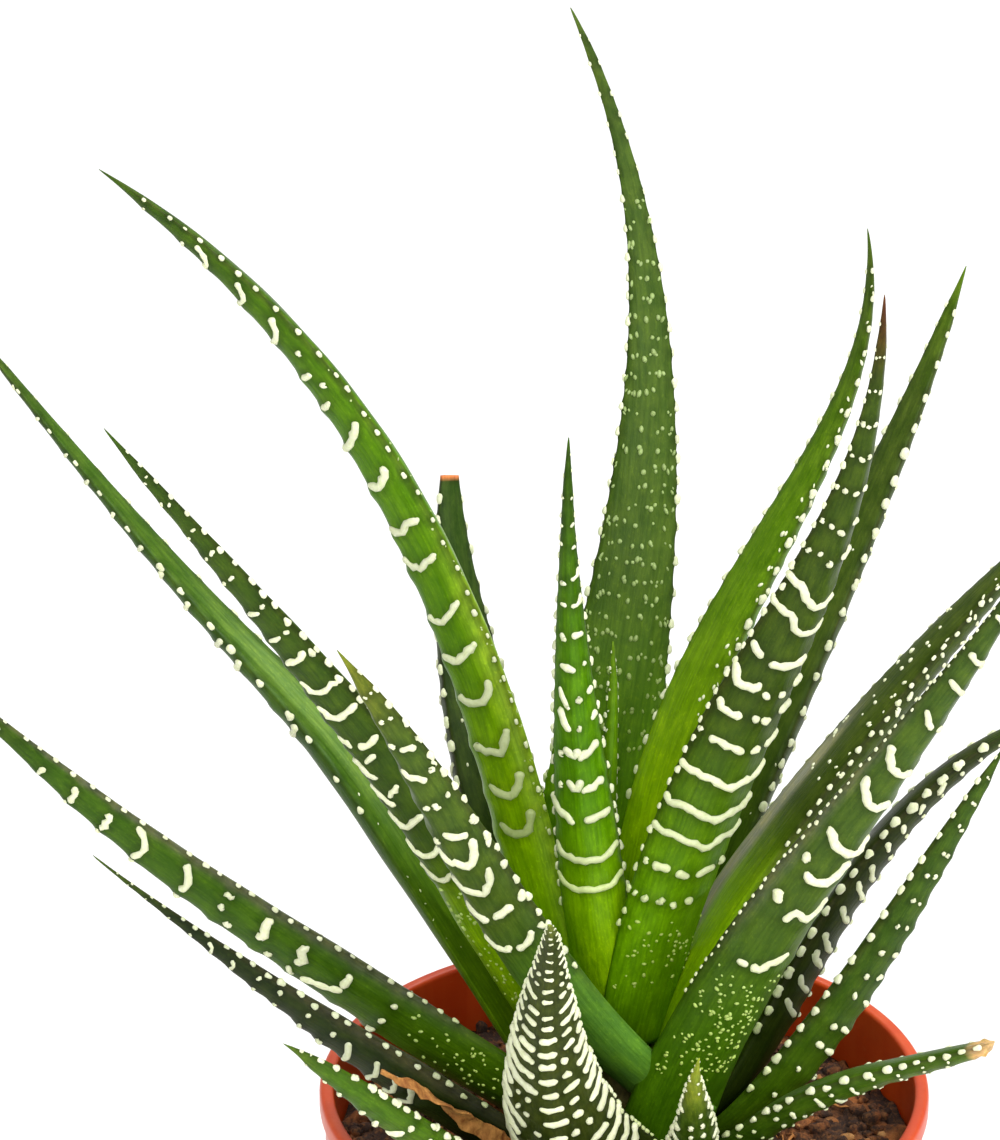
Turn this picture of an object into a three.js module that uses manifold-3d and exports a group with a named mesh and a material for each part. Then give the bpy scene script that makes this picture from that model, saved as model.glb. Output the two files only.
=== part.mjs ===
// A potted haworthia: long keeled leaves with raised white bands, on a short stem in a plastic nursery pot.
// Millimetres, +Z up. The origin is the centre of the pot's underside, and -Y is the plant's front.

import * as THREE from "three";
import { mergeVertices } from "three/addons/utils/BufferGeometryUtils.js";
import Module from "manifold-3d";

const { lerp, smoothstep } = THREE.MathUtils;
const wasm = await Module();
wasm.setup();

// ---- Driving dimensions ----

const GAP = 0.3; // between pieces that touch
const LEAF_GAP = 0.4; // between leaves, whose faces are not quite flat

const POT = {
  height: 75,
  rimRadius: 42.5,
  baseRadius: 30,
  wall: 1.3,
  floor: 2.2,
  lipWall: 2,
  lipHeight: 3.4,
  collarRadius: 41.7,
  collarHeight: 14,
  collarStep: 1.6, // how far the body stands back under the collar
  edge: 0.8, // small rounding at the foot and the lip
  segments: 44,
};
const DRAIN = { count: 6, radius: 2.6, ring: 19, segments: 12 };

const SOIL = {
  level: 65, // at the pot's wall
  hollow: 3, // how much lower it lies round the stem
  hollowRadius: 24,
  lump: 0.9, // height of the lumps
  waves: [{ x: 0.42, y: 0.37, phase: 1 }, { x: 0.53, y: 0.71, phase: 2.4 }], // radians a millimetre
  segments: 36,
  rings: 7,
};

const STEM = {
  bottom: 58,
  taperStart: 68,
  taperEnd: 83,
  shoulder: 89.5,
  top: 91,
  footRadius: 5,
  neckRadius: 4,
  crownRadius: 2.4,
  segments: 14,
};

// A leaf's cross-section: its thickness as a share of its width, along the leaf.
const FOOT_THICKNESS = 0.34;
const BODY_THICKNESS = 0.5;
const TIP_THICKNESS = 0.68;
const FOOT_END = 0.25; // where along the leaf its foot has grown to the full thickness
const KEEL_SHARE = 0.8; // of the thickness, on the outer side of the margins
const FLANK_SIDE = 0.72; // of the half width, where the outer side bends between margin and keel
const FLANK_OUT = 0.64; // of the keel's height, at that bend
const INNER_SWELL = 0.2; // of the thickness, on the inner side, above the channelled foot
const CHANNEL = 0.06; // how far the foot's inner side is hollowed, as a share of the thickness
const CHANNEL_END = 0.4; // where along the leaf the inner side has swollen fully
const THINNEST = 0.6;

const BAND_RISE = 0.5; // of a white band, above the leaf
const TOOTH_RISE = 0.4; // where a band ends at the margin
const FULL_BAND_WIDTH = 7; // a leaf narrower than this has lower bands, in proportion
const BAND_CREST = 0.28; // where a band's crest lies, as a share of the spacing
const FOOT_STEP = 6; // between sections where the leaf is smooth
const MARGIN_MITRE = 2.2; // how much further than its faces a grown leaf's sharp margins move

// Every leaf has four stations, [x, y, z, width], about evenly spaced from its foot to its tip. "faces" is
// the compass angle, in degrees from +X, that its keeled outer side turns to. The bands run over the stretch
// "banded", as shares of its length, "spacing" millimetres apart. The list goes from the heart outwards.
const LEAVES = [
  {
    name: "leaf_heart_small",
    stations: [[-1, -2, 88, 3.8], [-3, -3, 107.5, 3.4], [-2.5, -4, 126.5, 2.4], [-2, -4, 145.5, 0.9]],
    faces: 300, banded: [0.2, 0.92], spacing: 3.6, tone: "bright",
  },
  {
    name: "leaf_heart_front",
    stations: [[-1, -5, 87, 7.4], [-5, -8, 115.5, 8.5], [-7.5, -11, 149, 4.2], [-8, -13, 179.7, 0.9]],
    faces: 266, banded: [0.1, 0.94], spacing: 3.8, tone: "bright",
  },
  {
    name: "leaf_right_green",
    stations: [[0, 1, 86, 7.7], [9, 4, 134.5, 8.5], [25.3, 8, 168, 4.5], [31.5, 12, 199.3, 0.9]],
    faces: 40, banded: [0.3, 0.95], spacing: 5, tone: "bright",
  },
  {
    name: "leaf_left_arch",
    stations: [[-3.5, 1, 82.5, 14.2], [-13.5, 4, 117, 12.4], [-30.5, 5.5, 165, 9], [-70.5, 6, 209.5, 0.9]],
    faces: 205, banded: [0.16, 0.94], spacing: 5.6, tone: "bright",
  },
  {
    name: "leaf_right_upright",
    stations: [[1, -4, 85, 11.5], [13, -12, 134.5, 12.6], [26.2, -20, 169.5, 6.4], [32.5, -27, 206.5, 0.9]],
    faces: 304, banded: [0.14, 0.95], spacing: 4.7, tone: "green",
  },
  {
    name: "leaf_back_tall",
    stations: [[-6, 4, 85, 15.5], [-1.8, 13.5, 128, 13.6], [2.6, 26.5, 173, 6.2], [-8.5, 38, 220.5, 0.9]],
    faces: 92, banded: [0.14, 0.94], spacing: 5.2, tone: "green",
  },
  {
    name: "leaf_back_right",
    stations: [[3, 5, 78, 11], [14.5, 17, 109.5, 10.5], [31, 31, 144.5, 6.5], [46.5, 45, 180, 0.9]],
    faces: 45, banded: [0.2, 0.95], spacing: 4.8, tone: "dark",
  },
  {
    name: "leaf_right_broad",
    stations: [[3, 0, 77, 14.5], [12.5, -1.5, 102.5, 11.9], [35.5, 3.5, 134.5, 7.8], [59.5, 8, 160, 0.9]],
    faces: 12, banded: [0.5, 0.95], spacing: 4.6, tone: "green",
  },
  {
    name: "leaf_back_cut",
    stations: [[-4.5, 5, 75, 9.1], [-14.5, 16, 101, 13.4], [-22, 27, 126.5, 9.3], [-25, 37, 151, 2.8]],
    faces: 125, banded: [0.2, 0.94], spacing: 4.8, tone: "dark",
  },
  {
    name: "leaf_left_front",
    stations: [[9, -9, 76.5, 13.1], [-11.5, -18, 105.5, 11.3], [-23, -30, 133, 8], [-37.5, -42, 162.5, 0.9]],
    faces: 236, banded: [0.38, 0.95], spacing: 4.2, tone: "dark",
  },
  {
    name: "leaf_left_banded",
    stations: [[-6, -4, 78, 11.3], [-22.5, -12, 117.5, 11.9], [-38.5, -22.5, 148, 7.8], [-67.5, -34, 190, 0.9]],
    faces: 222, banded: [0.2, 0.95], spacing: 4.2, tone: "green",
  },
  {
    name: "leaf_left_far",
    stations: [[-7, 0, 74, 13.4], [-37, 2.5, 122.5, 9], [-53, 7, 140, 5.9], [-88.5, 13, 183, 0.9]],
    faces: 155, banded: [0.24, 0.95], spacing: 5.6, tone: "green",
  },
  {
    name: "leaf_back_mid",
    stations: [[0.5, 9, 76, 12], [1.5, 21, 93, 11], [0.5, 32, 111, 6.6], [-1.5, 41, 127, 0.9]],
    faces: 88, banded: [0.24, 0.95], spacing: 4.4, tone: "green",
  },
  {
    name: "leaf_right_banded",
    stations: [[5, -7, 70, 16.1], [18.5, -19, 110, 12.2], [37.5, -32.5, 147.5, 6.4], [53, -48, 182, 0.9]],
    faces: 300, banded: [0.24, 0.95], spacing: 6, tone: "green",
  },
  {
    name: "leaf_left_low",
    stations: [[-5, -4, 70, 16.9], [-37, -9, 97, 11.5], [-62, -13.5, 118, 7.6], [-89.5, -18, 145, 0.9]],
    faces: 238, banded: [0.26, 0.95], spacing: 5.8, tone: "green",
  },
  {
    name: "leaf_front_dense",
    stations: [[0.5, -11, 70, 22.1], [-9, -26, 89, 14.1], [-10, -40, 113.5, 5.2], [-10, -54, 129, 0.9]],
    faces: 262, banded: [0.16, 0.95], spacing: 2.7, tone: "dark",
  },
  {
    name: "leaf_right_thin",
    stations: [[8, 1, 70, 10.1], [19, 4, 83.5, 9.2], [33.5, 9.5, 107.5, 6.9], [59.5, 15, 126.5, 0.9]],
    faces: 350, banded: [0.24, 0.95], spacing: 3.9, tone: "dark",
  },
  {
    name: "leaf_right_low",
    stations: [[8, -3, 68, 11.2], [24, -5, 84.5, 10], [38, -6, 108, 6.2], [51.5, -7, 132.5, 0.9]],
    faces: 325, banded: [0.26, 0.95], spacing: 4.2, tone: "dark",
  },
  {
    name: "leaf_left_thin",
    stations: [[-7, -8, 67.5, 10.2], [-27, -18, 86, 10.4], [-51, -26, 107.8, 4], [-70.5, -33, 127.5, 0.9]],
    faces: 230, banded: [0.26, 0.95], spacing: 4, tone: "dark",
  },
  {
    name: "leaf_right_low_dry",
    stations: [[9, -10, 68.5, 8.9], [22.5, -19, 83.5, 7.1], [33, -25, 91.5, 5.1], [49.5, -31, 99.5, 3]],
    faces: 318, banded: [0.26, 0.9], spacing: 4, tone: "green",
  },
  {
    name: "leaf_front_small",
    stations: [[4, -14, 67, 7.4], [9, -23, 78.5, 6.9], [9.5, -31, 89.5, 3.7], [10, -38, 100.5, 0.9]],
    faces: 280, banded: [0.22, 0.92], spacing: 2.8, tone: "green",
  },
  {
    name: "leaf_front_left_short",
    stations: [[-7, -10, 67, 10.1], [-19.5, -24, 76.5, 8.4], [-32, -35, 91.5, 6], [-45, -45, 106, 0.9]],
    faces: 238, banded: [0.26, 0.94], spacing: 3.5, tone: "green",
  },
  {
    name: "leaf_back_low",
    stations: [[0, 9, 69, 10], [1, 22, 76, 10], [0, 34, 84, 6.5], [-1, 46, 92, 0.9]],
    faces: 92, banded: [0.26, 0.94], spacing: 4, tone: "green",
  },
  {
    name: "leaf_back_low_left",
    stations: [[-4, 6, 68, 9], [-12, 17, 75, 8.4], [-19, 28, 80.5, 5], [-25, 38, 84, 0.9]],
    faces: 118, banded: [0.26, 0.94], spacing: 4, tone: "dark",
  },
  {
    name: "leaf_back_low_right",
    stations: [[3, 7, 69, 9], [9, 19, 78, 8.4], [14, 31, 86, 5], [18, 42, 92, 0.9]],
    faces: 68, banded: [0.26, 0.94], spacing: 4, tone: "dark",
  },
  {
    name: "leaf_front_left_low",
    stations: [[-4, -15, 67.5, 7.6], [-10.5, -29, 75.5, 7.6], [-16.5, -42, 84, 5], [-22, -53, 93.5, 0.9]],
    faces: 250, banded: [0.26, 0.94], spacing: 4, tone: "green",
  },
  {
    name: "leaf_front_low",
    stations: [[7, -15, 67.5, 7.4], [14, -29, 75.5, 7.6], [20.5, -42, 84, 5], [25, -53, 93.5, 0.9]],
    faces: 282, banded: [0.26, 0.94], spacing: 4, tone: "dark",
  },
  {
    name: "leaf_front_right_low",
    stations: [[10.5, -12.5, 67.5, 7.4], [22, -22.5, 74, 7.6], [33, -32, 81.5, 5], [43, -41, 88, 0.9]],
    faces: 310, banded: [0.26, 0.94], spacing: 4, tone: "green",
  },
];

// The shrivelled remains of an old leaf, lying over the low left leaves.
const DRY_LEAF = {
  name: "dry_leaf",
  stations: [[-11, -16, 71, 4], [-18.5, -21.5, 79, 4.2], [-26, -25.5, 86.5, 3.2], [-33, -28.5, 92.5, 1.2]],
  faces: 235, banded: [1, 1], spacing: 4, tone: "dry",
};

// ---- Materials ----

const TONES = {
  bright: { color: "#5a9a22", roughness: 0.42 },
  green: { color: "#3c6e2a", roughness: 0.42 },
  dark: { color: "#2f5230", roughness: 0.45 },
  dry: { color: "#b9793f", roughness: 0.85 },
  soil: { color: "#46281a", roughness: 0.95 },
  stem: { color: "#7a7a3a", roughness: 0.8 },
  pot: { color: "#c2481f", roughness: 0.35 },
};

function material(tone) {
  return new THREE.MeshStandardMaterial({ ...TONES[tone], metalness: 0 });
}

// ---- Closed surfaces and booleans ----

// A closed surface over rings of equally many points, each one counterclockwise seen from the loft's end.
function loft(rings) {
  const sides = rings[0].length;
  const last = rings.length - 1;
  const points = rings.flat();
  const faces = [];
  for (let i = 0; i < last; i++) {
    for (let j = 0; j < sides; j++) {
      const a = i * sides + j;
      const b = i * sides + ((j + 1) % sides);
      faces.push(a, b, b + sides, a, b + sides, a + sides);
    }
  }
  for (const [ring, index] of [[0, points.length], [last, points.length + 1]]) {
    const centre = new THREE.Vector3();
    rings[ring].forEach((point) => centre.addScaledVector(point, 1 / sides));
    points.push(centre);
    for (let j = 0; j < sides; j++) {
      const a = ring * sides + j;
      const b = ring * sides + ((j + 1) % sides);
      faces.push(...(ring === 0 ? [b, a, index] : [a, b, index]));
    }
  }
  const geometry = new THREE.BufferGeometry().setFromPoints(points);
  return geometry.setIndex(faces);
}

// A solid of revolution about +Z, from a closed profile of [radius, height] pairs that goes up the outside.
function turned(profile, segments) {
  const points = profile.map(([radius, height]) => new THREE.Vector2(radius, height));
  return new THREE.LatheGeometry(points, segments).rotateX(Math.PI / 2);
}

function solidOf(geometry) {
  const plain = geometry.clone();
  plain.deleteAttribute("normal");
  plain.deleteAttribute("uv");
  const merged = mergeVertices(plain);
  const mesh = new wasm.Mesh({
    numProp: 3,
    vertProperties: merged.attributes.position.array,
    triVerts: new Uint32Array(merged.index.array),
  });
  return new wasm.Manifold(mesh);
}

function geometryOf(solid) {
  const { vertProperties, triVerts } = solid.getMesh();
  const geometry = new THREE.BufferGeometry();
  geometry.setAttribute("position", new THREE.BufferAttribute(vertProperties, 3));
  geometry.setIndex(new THREE.BufferAttribute(triVerts, 1));
  geometry.computeVertexNormals();
  return geometry;
}

function largestBody(solid) {
  return solid.decompose().reduce((most, body) => (body.volume() > most.volume() ? body : most));
}

// ---- Pot ----

// The radius of the pot's inner wall, where the soil lies.
function potInside(height) {
  const top = POT.collarRadius - POT.collarStep - POT.wall;
  const bottom = POT.baseRadius - POT.wall;
  const underCollar = POT.height - POT.collarHeight;
  if (height > underCollar) return POT.collarRadius - POT.wall;
  return bottom + ((top - bottom) * (height - POT.floor)) / (underCollar - POT.floor);
}

function makePot() {
  const { height, rimRadius, baseRadius, collarRadius, edge } = POT;
  const underCollar = height - POT.collarHeight;
  const underLip = height - POT.lipHeight;
  const profile = [
    [0, 0],
    [baseRadius - edge, 0],
    [baseRadius, edge],
    [collarRadius - POT.collarStep, underCollar],
    [collarRadius, underCollar + edge],
    [collarRadius, underLip],
    [rimRadius, underLip + edge],
    [rimRadius, height - edge],
    [rimRadius - edge, height],
    [rimRadius - POT.lipWall + edge, height],
    [rimRadius - POT.lipWall, height - edge],
    [collarRadius - POT.wall, underLip],
    [collarRadius - POT.wall, underCollar + POT.wall],
    [potInside(underCollar), underCollar],
    [potInside(POT.floor), POT.floor],
    [0, POT.floor],
  ];
  let pot = solidOf(turned(profile, POT.segments));
  for (let i = 0; i < DRAIN.count; i++) {
    const angle = (2 * Math.PI * i) / DRAIN.count;
    const hole = new THREE.CylinderGeometry(DRAIN.radius, DRAIN.radius, 3 * POT.floor, DRAIN.segments)
      .rotateX(Math.PI / 2)
      .translate(DRAIN.ring * Math.cos(angle), DRAIN.ring * Math.sin(angle), 0);
    pot = pot.subtract(solidOf(hole));
  }
  return new THREE.Mesh(geometryOf(pot), material("pot"));
}

// ---- Soil ----

function soilTop(x, y) {
  const hollow = Math.max(0, 1 - Math.hypot(x, y) / SOIL.hollowRadius);
  const waves = SOIL.waves.map((wave) => Math.sin(wave.x * x + wave.phase) * Math.cos(wave.y * y));
  const lumps = waves.reduce((sum, wave) => sum + wave, 0) / waves.length;
  return SOIL.level - SOIL.hollow * hollow + SOIL.lump * lumps;
}

function soilRing(radius, heightAt) {
  return Array.from({ length: SOIL.segments }, (_, i) => {
    const angle = (2 * Math.PI * i) / SOIL.segments;
    const x = radius * Math.cos(angle);
    const y = radius * Math.sin(angle);
    return new THREE.Vector3(x, y, heightAt(x, y));
  });
}

// The soil fills the pot and stands a gap clear of it, with a plain hole for the stem.
function makeSoil() {
  const floor = POT.floor + GAP;
  const shoulder = POT.height - POT.collarHeight;
  const flat = (height) => () => height;
  const outer = potInside(POT.height) - GAP;
  const hole = STEM.footRadius + GAP;
  const rings = [
    soilRing(potInside(floor) - GAP, flat(floor)),
    soilRing(potInside(shoulder) - GAP, flat(shoulder)),
    soilRing(outer, flat(shoulder + POT.wall + GAP)),
  ];
  for (let i = 0; i < SOIL.rings; i++) {
    rings.push(soilRing(lerp(outer, hole, i / (SOIL.rings - 1)), soilTop));
  }
  rings.push(soilRing(hole, flat(STEM.bottom - GAP)));
  return new THREE.Mesh(loft(rings), material("soil"));
}

// ---- Stem ----

// The stem's outline, grown by a gap where its neighbours are cut with it.
function stemProfile(grow) {
  return [
    [0, STEM.bottom - grow],
    [STEM.footRadius + grow, STEM.bottom - grow],
    [STEM.footRadius + grow, STEM.taperStart],
    [STEM.neckRadius + grow, STEM.taperEnd],
    [STEM.crownRadius + grow, STEM.shoulder + grow],
    [0, STEM.top + grow],
  ];
}

function makeStem() {
  return new THREE.Mesh(turned(stemProfile(0), STEM.segments), material("stem"));
}

// ---- Leaves ----

// The line of a leaf's four stations: the cubic that passes through them all.
class Midrib extends THREE.Curve {
  constructor(stations) {
    super();
    this.stations = stations;
  }

  // The four numbers of a station, at t from 0 at the foot to 1 at the tip.
  stationAt(t) {
    const last = this.stations.length - 1;
    const sum = [0, 0, 0, 0];
    this.stations.forEach((station, i) => {
      let weight = 1;
      for (let j = 0; j <= last; j++) {
        if (j !== i) weight *= (t * last - j) / (i - j);
      }
      station.forEach((number, k) => (sum[k] += weight * number));
    });
    return sum;
  }

  getPoint(t, target = new THREE.Vector3()) {
    const [x, y, z] = this.stationAt(t);
    return target.set(x, y, z);
  }
}

// One six-sided section of a leaf: a margin, flank, keel, flank, margin and the middle of the inner side.
// "rise" is how high a band stands there, from 0 to 1, and "grow" moves the whole surface outwards.
function leafSection(leaf, midrib, share, rise, grow) {
  const t = midrib.getUtoTmapping(share);
  const width = Math.max(midrib.stationAt(t)[3], THINNEST);
  const along = midrib.getTangentAt(share);
  const compass = THREE.MathUtils.degToRad(leaf.faces);
  const heading = new THREE.Vector3(Math.cos(compass), Math.sin(compass), 0);
  const keelward = heading
    .clone()
    .multiplyScalar(along.z)
    .addScaledVector(new THREE.Vector3(0, 0, 1), -along.dot(heading))
    .normalize();
  const sideward = new THREE.Vector3().crossVectors(keelward, along);

  const body = lerp(BODY_THICKNESS, TIP_THICKNESS, t);
  const thickness = Math.max(width * lerp(FOOT_THICKNESS, body, smoothstep(t, 0, FOOT_END)), THINNEST);
  const scale = rise * Math.min(1, width / FULL_BAND_WIDTH);
  const half = width / 2 + scale * TOOTH_RISE;
  const keel = thickness * KEEL_SHARE;
  const inner = thickness * lerp(CHANNEL, -INNER_SWELL, smoothstep(t, 0, CHANNEL_END));
  const outwards = scale * BAND_RISE + grow;
  const outline = [
    [half + MARGIN_MITRE * grow, -grow],
    [half * FLANK_SIDE + grow, keel * FLANK_OUT + outwards],
    [0, keel + outwards],
    [-half * FLANK_SIDE - grow, keel * FLANK_OUT + outwards],
    [-half - MARGIN_MITRE * grow, -grow],
    [0, inner - grow],
  ];
  const centre = midrib.getPointAt(share);
  return outline.map(([side, out]) =>
    centre.clone().addScaledVector(sideward, side).addScaledVector(keelward, out),
  );
}

// Where a leaf's sections lie, as shares of its length, and how high a band stands at each.
function leafStops(leaf, length) {
  const [start, end] = leaf.banded;
  const stops = [];
  const smooth = Math.max(1, Math.ceil((start * length) / FOOT_STEP));
  for (let i = 0; i < smooth; i++) stops.push([(start * i) / smooth, 0]);
  const bands = Math.round(((end - start) * length) / leaf.spacing);
  for (let i = 0; i < bands; i++) {
    stops.push([lerp(start, end, i / bands), 0]);
    stops.push([lerp(start, end, (i + BAND_CREST) / bands), 1]);
  }
  stops.push([end, 0], [1, 0]);
  return stops.filter(([share], i) => i === 0 || share > stops[i - 1][0]);
}

function leafSurface(leaf) {
  const midrib = new Midrib(leaf.stations);
  const stops = leafStops(leaf, midrib.getLength());
  return loft(stops.map(([share, rise]) => leafSection(leaf, midrib, share, rise, 0)));
}

// The space that a leaf's neighbours leave clear: its form as wide as at its bands, grown by a gap.
function leafClearance(leaf) {
  const midrib = new Midrib(leaf.stations);
  const smooth = leafStops(leaf, midrib.getLength()).filter(([, rise]) => rise === 0);
  return solidOf(loft(smooth.map(([share]) => leafSection(leaf, midrib, share, 1, LEAF_GAP))));
}

// The leaves are fitted from the heart outwards: each one is cut back where the soil, the stem or a younger
// leaf is.
function makeLeaves(soil) {
  const soilClearance = solidOf(soil.geometry.clone().translate(0, 0, GAP));
  const taken = [soilClearance, solidOf(turned(stemProfile(GAP), STEM.segments))];
  return [...LEAVES, DRY_LEAF].map((leaf) => {
    const whole = solidOf(leafSurface(leaf));
    const fitted = taken.reduce((rest, neighbour) => rest.subtract(neighbour), whole);
    taken.push(leafClearance(leaf));
    const mesh = new THREE.Mesh(geometryOf(largestBody(fitted)), material(leaf.tone));
    mesh.name = leaf.name;
    return mesh;
  });
}

// ---- Assembly ----

const plant = new THREE.Group();

const pot = makePot();
pot.name = "pot";
const soil = makeSoil();
soil.name = "soil";
const stem = makeStem();
stem.name = "stem";

plant.add(pot, soil, stem, ...makeLeaves(soil));

export default plant;
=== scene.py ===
"""A potted haworthia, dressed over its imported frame: fine keeled leaves with raised white warts, a moulded
plastic pot and crumbly soil. Lengths in this script are millimetres until a mesh is made, then metres."""

import math
import random
import re

import bmesh
import bpy
import numpy as np
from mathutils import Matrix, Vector, kdtree, noise


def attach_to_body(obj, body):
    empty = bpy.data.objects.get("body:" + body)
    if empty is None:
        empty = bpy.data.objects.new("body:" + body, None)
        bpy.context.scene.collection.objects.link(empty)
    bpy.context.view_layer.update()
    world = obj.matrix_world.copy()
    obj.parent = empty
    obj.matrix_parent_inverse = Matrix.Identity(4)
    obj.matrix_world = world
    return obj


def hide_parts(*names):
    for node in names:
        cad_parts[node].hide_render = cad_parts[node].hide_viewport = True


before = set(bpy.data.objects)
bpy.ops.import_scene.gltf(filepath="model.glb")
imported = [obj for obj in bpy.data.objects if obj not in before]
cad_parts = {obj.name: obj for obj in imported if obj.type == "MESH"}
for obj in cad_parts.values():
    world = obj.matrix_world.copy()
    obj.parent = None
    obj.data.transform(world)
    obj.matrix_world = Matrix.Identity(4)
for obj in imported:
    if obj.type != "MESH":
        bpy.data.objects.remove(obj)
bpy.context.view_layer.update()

MM = 0.001
BODY = "root"

# ---- The leaves ----

# Section of a leaf, as shares of its width and thickness, the same as in the part's source.
FOOT_THICKNESS = 0.34
BODY_THICKNESS = 0.5
TIP_THICKNESS = 0.68
FOOT_END = 0.25
KEEL_SHARE = 0.8
INNER_SWELL = 0.2
CHANNEL = 0.06
CHANNEL_END = 0.4
THINNEST = 0.6

FLANK_POWER = 1.12  # above 1 the flanks flatten towards a keel
FLANK_RISE = 0.95
RIDGE = dict(height=0.08, spread=0.3)  # the sharper line of the keel, as a share of the thickness
INNER_POWER = 0.9
WAVE = dict(height=0.1, lengths=(3.7, 6.1))  # unevenness of the sides
SLENDER = 7  # a narrower leaf has less relief
SPINE_POINTS = 401
RING_STEP = 0.8  # between a leaf's rings
RING_POWER = 0.97
SIDES = 40
TIP_TAPER = 7  # the stretch where a whole leaf narrows to its point
DRY_TAPER = 1.6
BLUNT = dict(least=0.14, power=0.62)
SWELL = 0.34  # how far the leaf swells under a row of warts
SWELL_REACH = dict(ahead=0.75, behind=1.5)
TOOTH_RISE = 0.28  # how far the margins stand out at a tooth
TOOTH_REACH = 0.8
PAINTED_SHADOW = 0.4  # how much darker the leaf is beside a wart: painted shadow at its foot
PAINTED_SHADOW_REACH = 0.7
CRUMPLE = 0.5  # of the dried end
LEAF_SEED = 100  # and one more for each leaf
NOISE_SEED = 7

RIM_TINT = (54, 50, 26)
# the pale colour of the painted sheen
PAINTED_SHEEN_TINT = (158, 162, 136)
WART = (234, 238, 202)
FOOT_DOT = (178, 204, 122)
WART_FOOT = (176, 200, 84)
CUT_TINT = (222, 128, 84)

# The short low leaves that the photograph doesn't show.
LOW = dict(start=0.24, radius=0.5, join=(0.6, 0.3), tooth=0.4)
LOW_BACK = dict(
    LOW, slot="leaf_dark", foot=(62, 90, 10), body=(50, 70, 16), tip=(60, 80, 20), spacing=3.5, radius=0.48,
    inner=(0.3, 0.9, 1.6, 0.26), teeth=3.2,
)
LOW_FRONT = dict(
    LOW, slot="leaf_green", foot=(64, 94, 10), body=(58, 84, 16), tip=(78, 98, 26), spacing=3.2, teeth=3,
)

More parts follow.
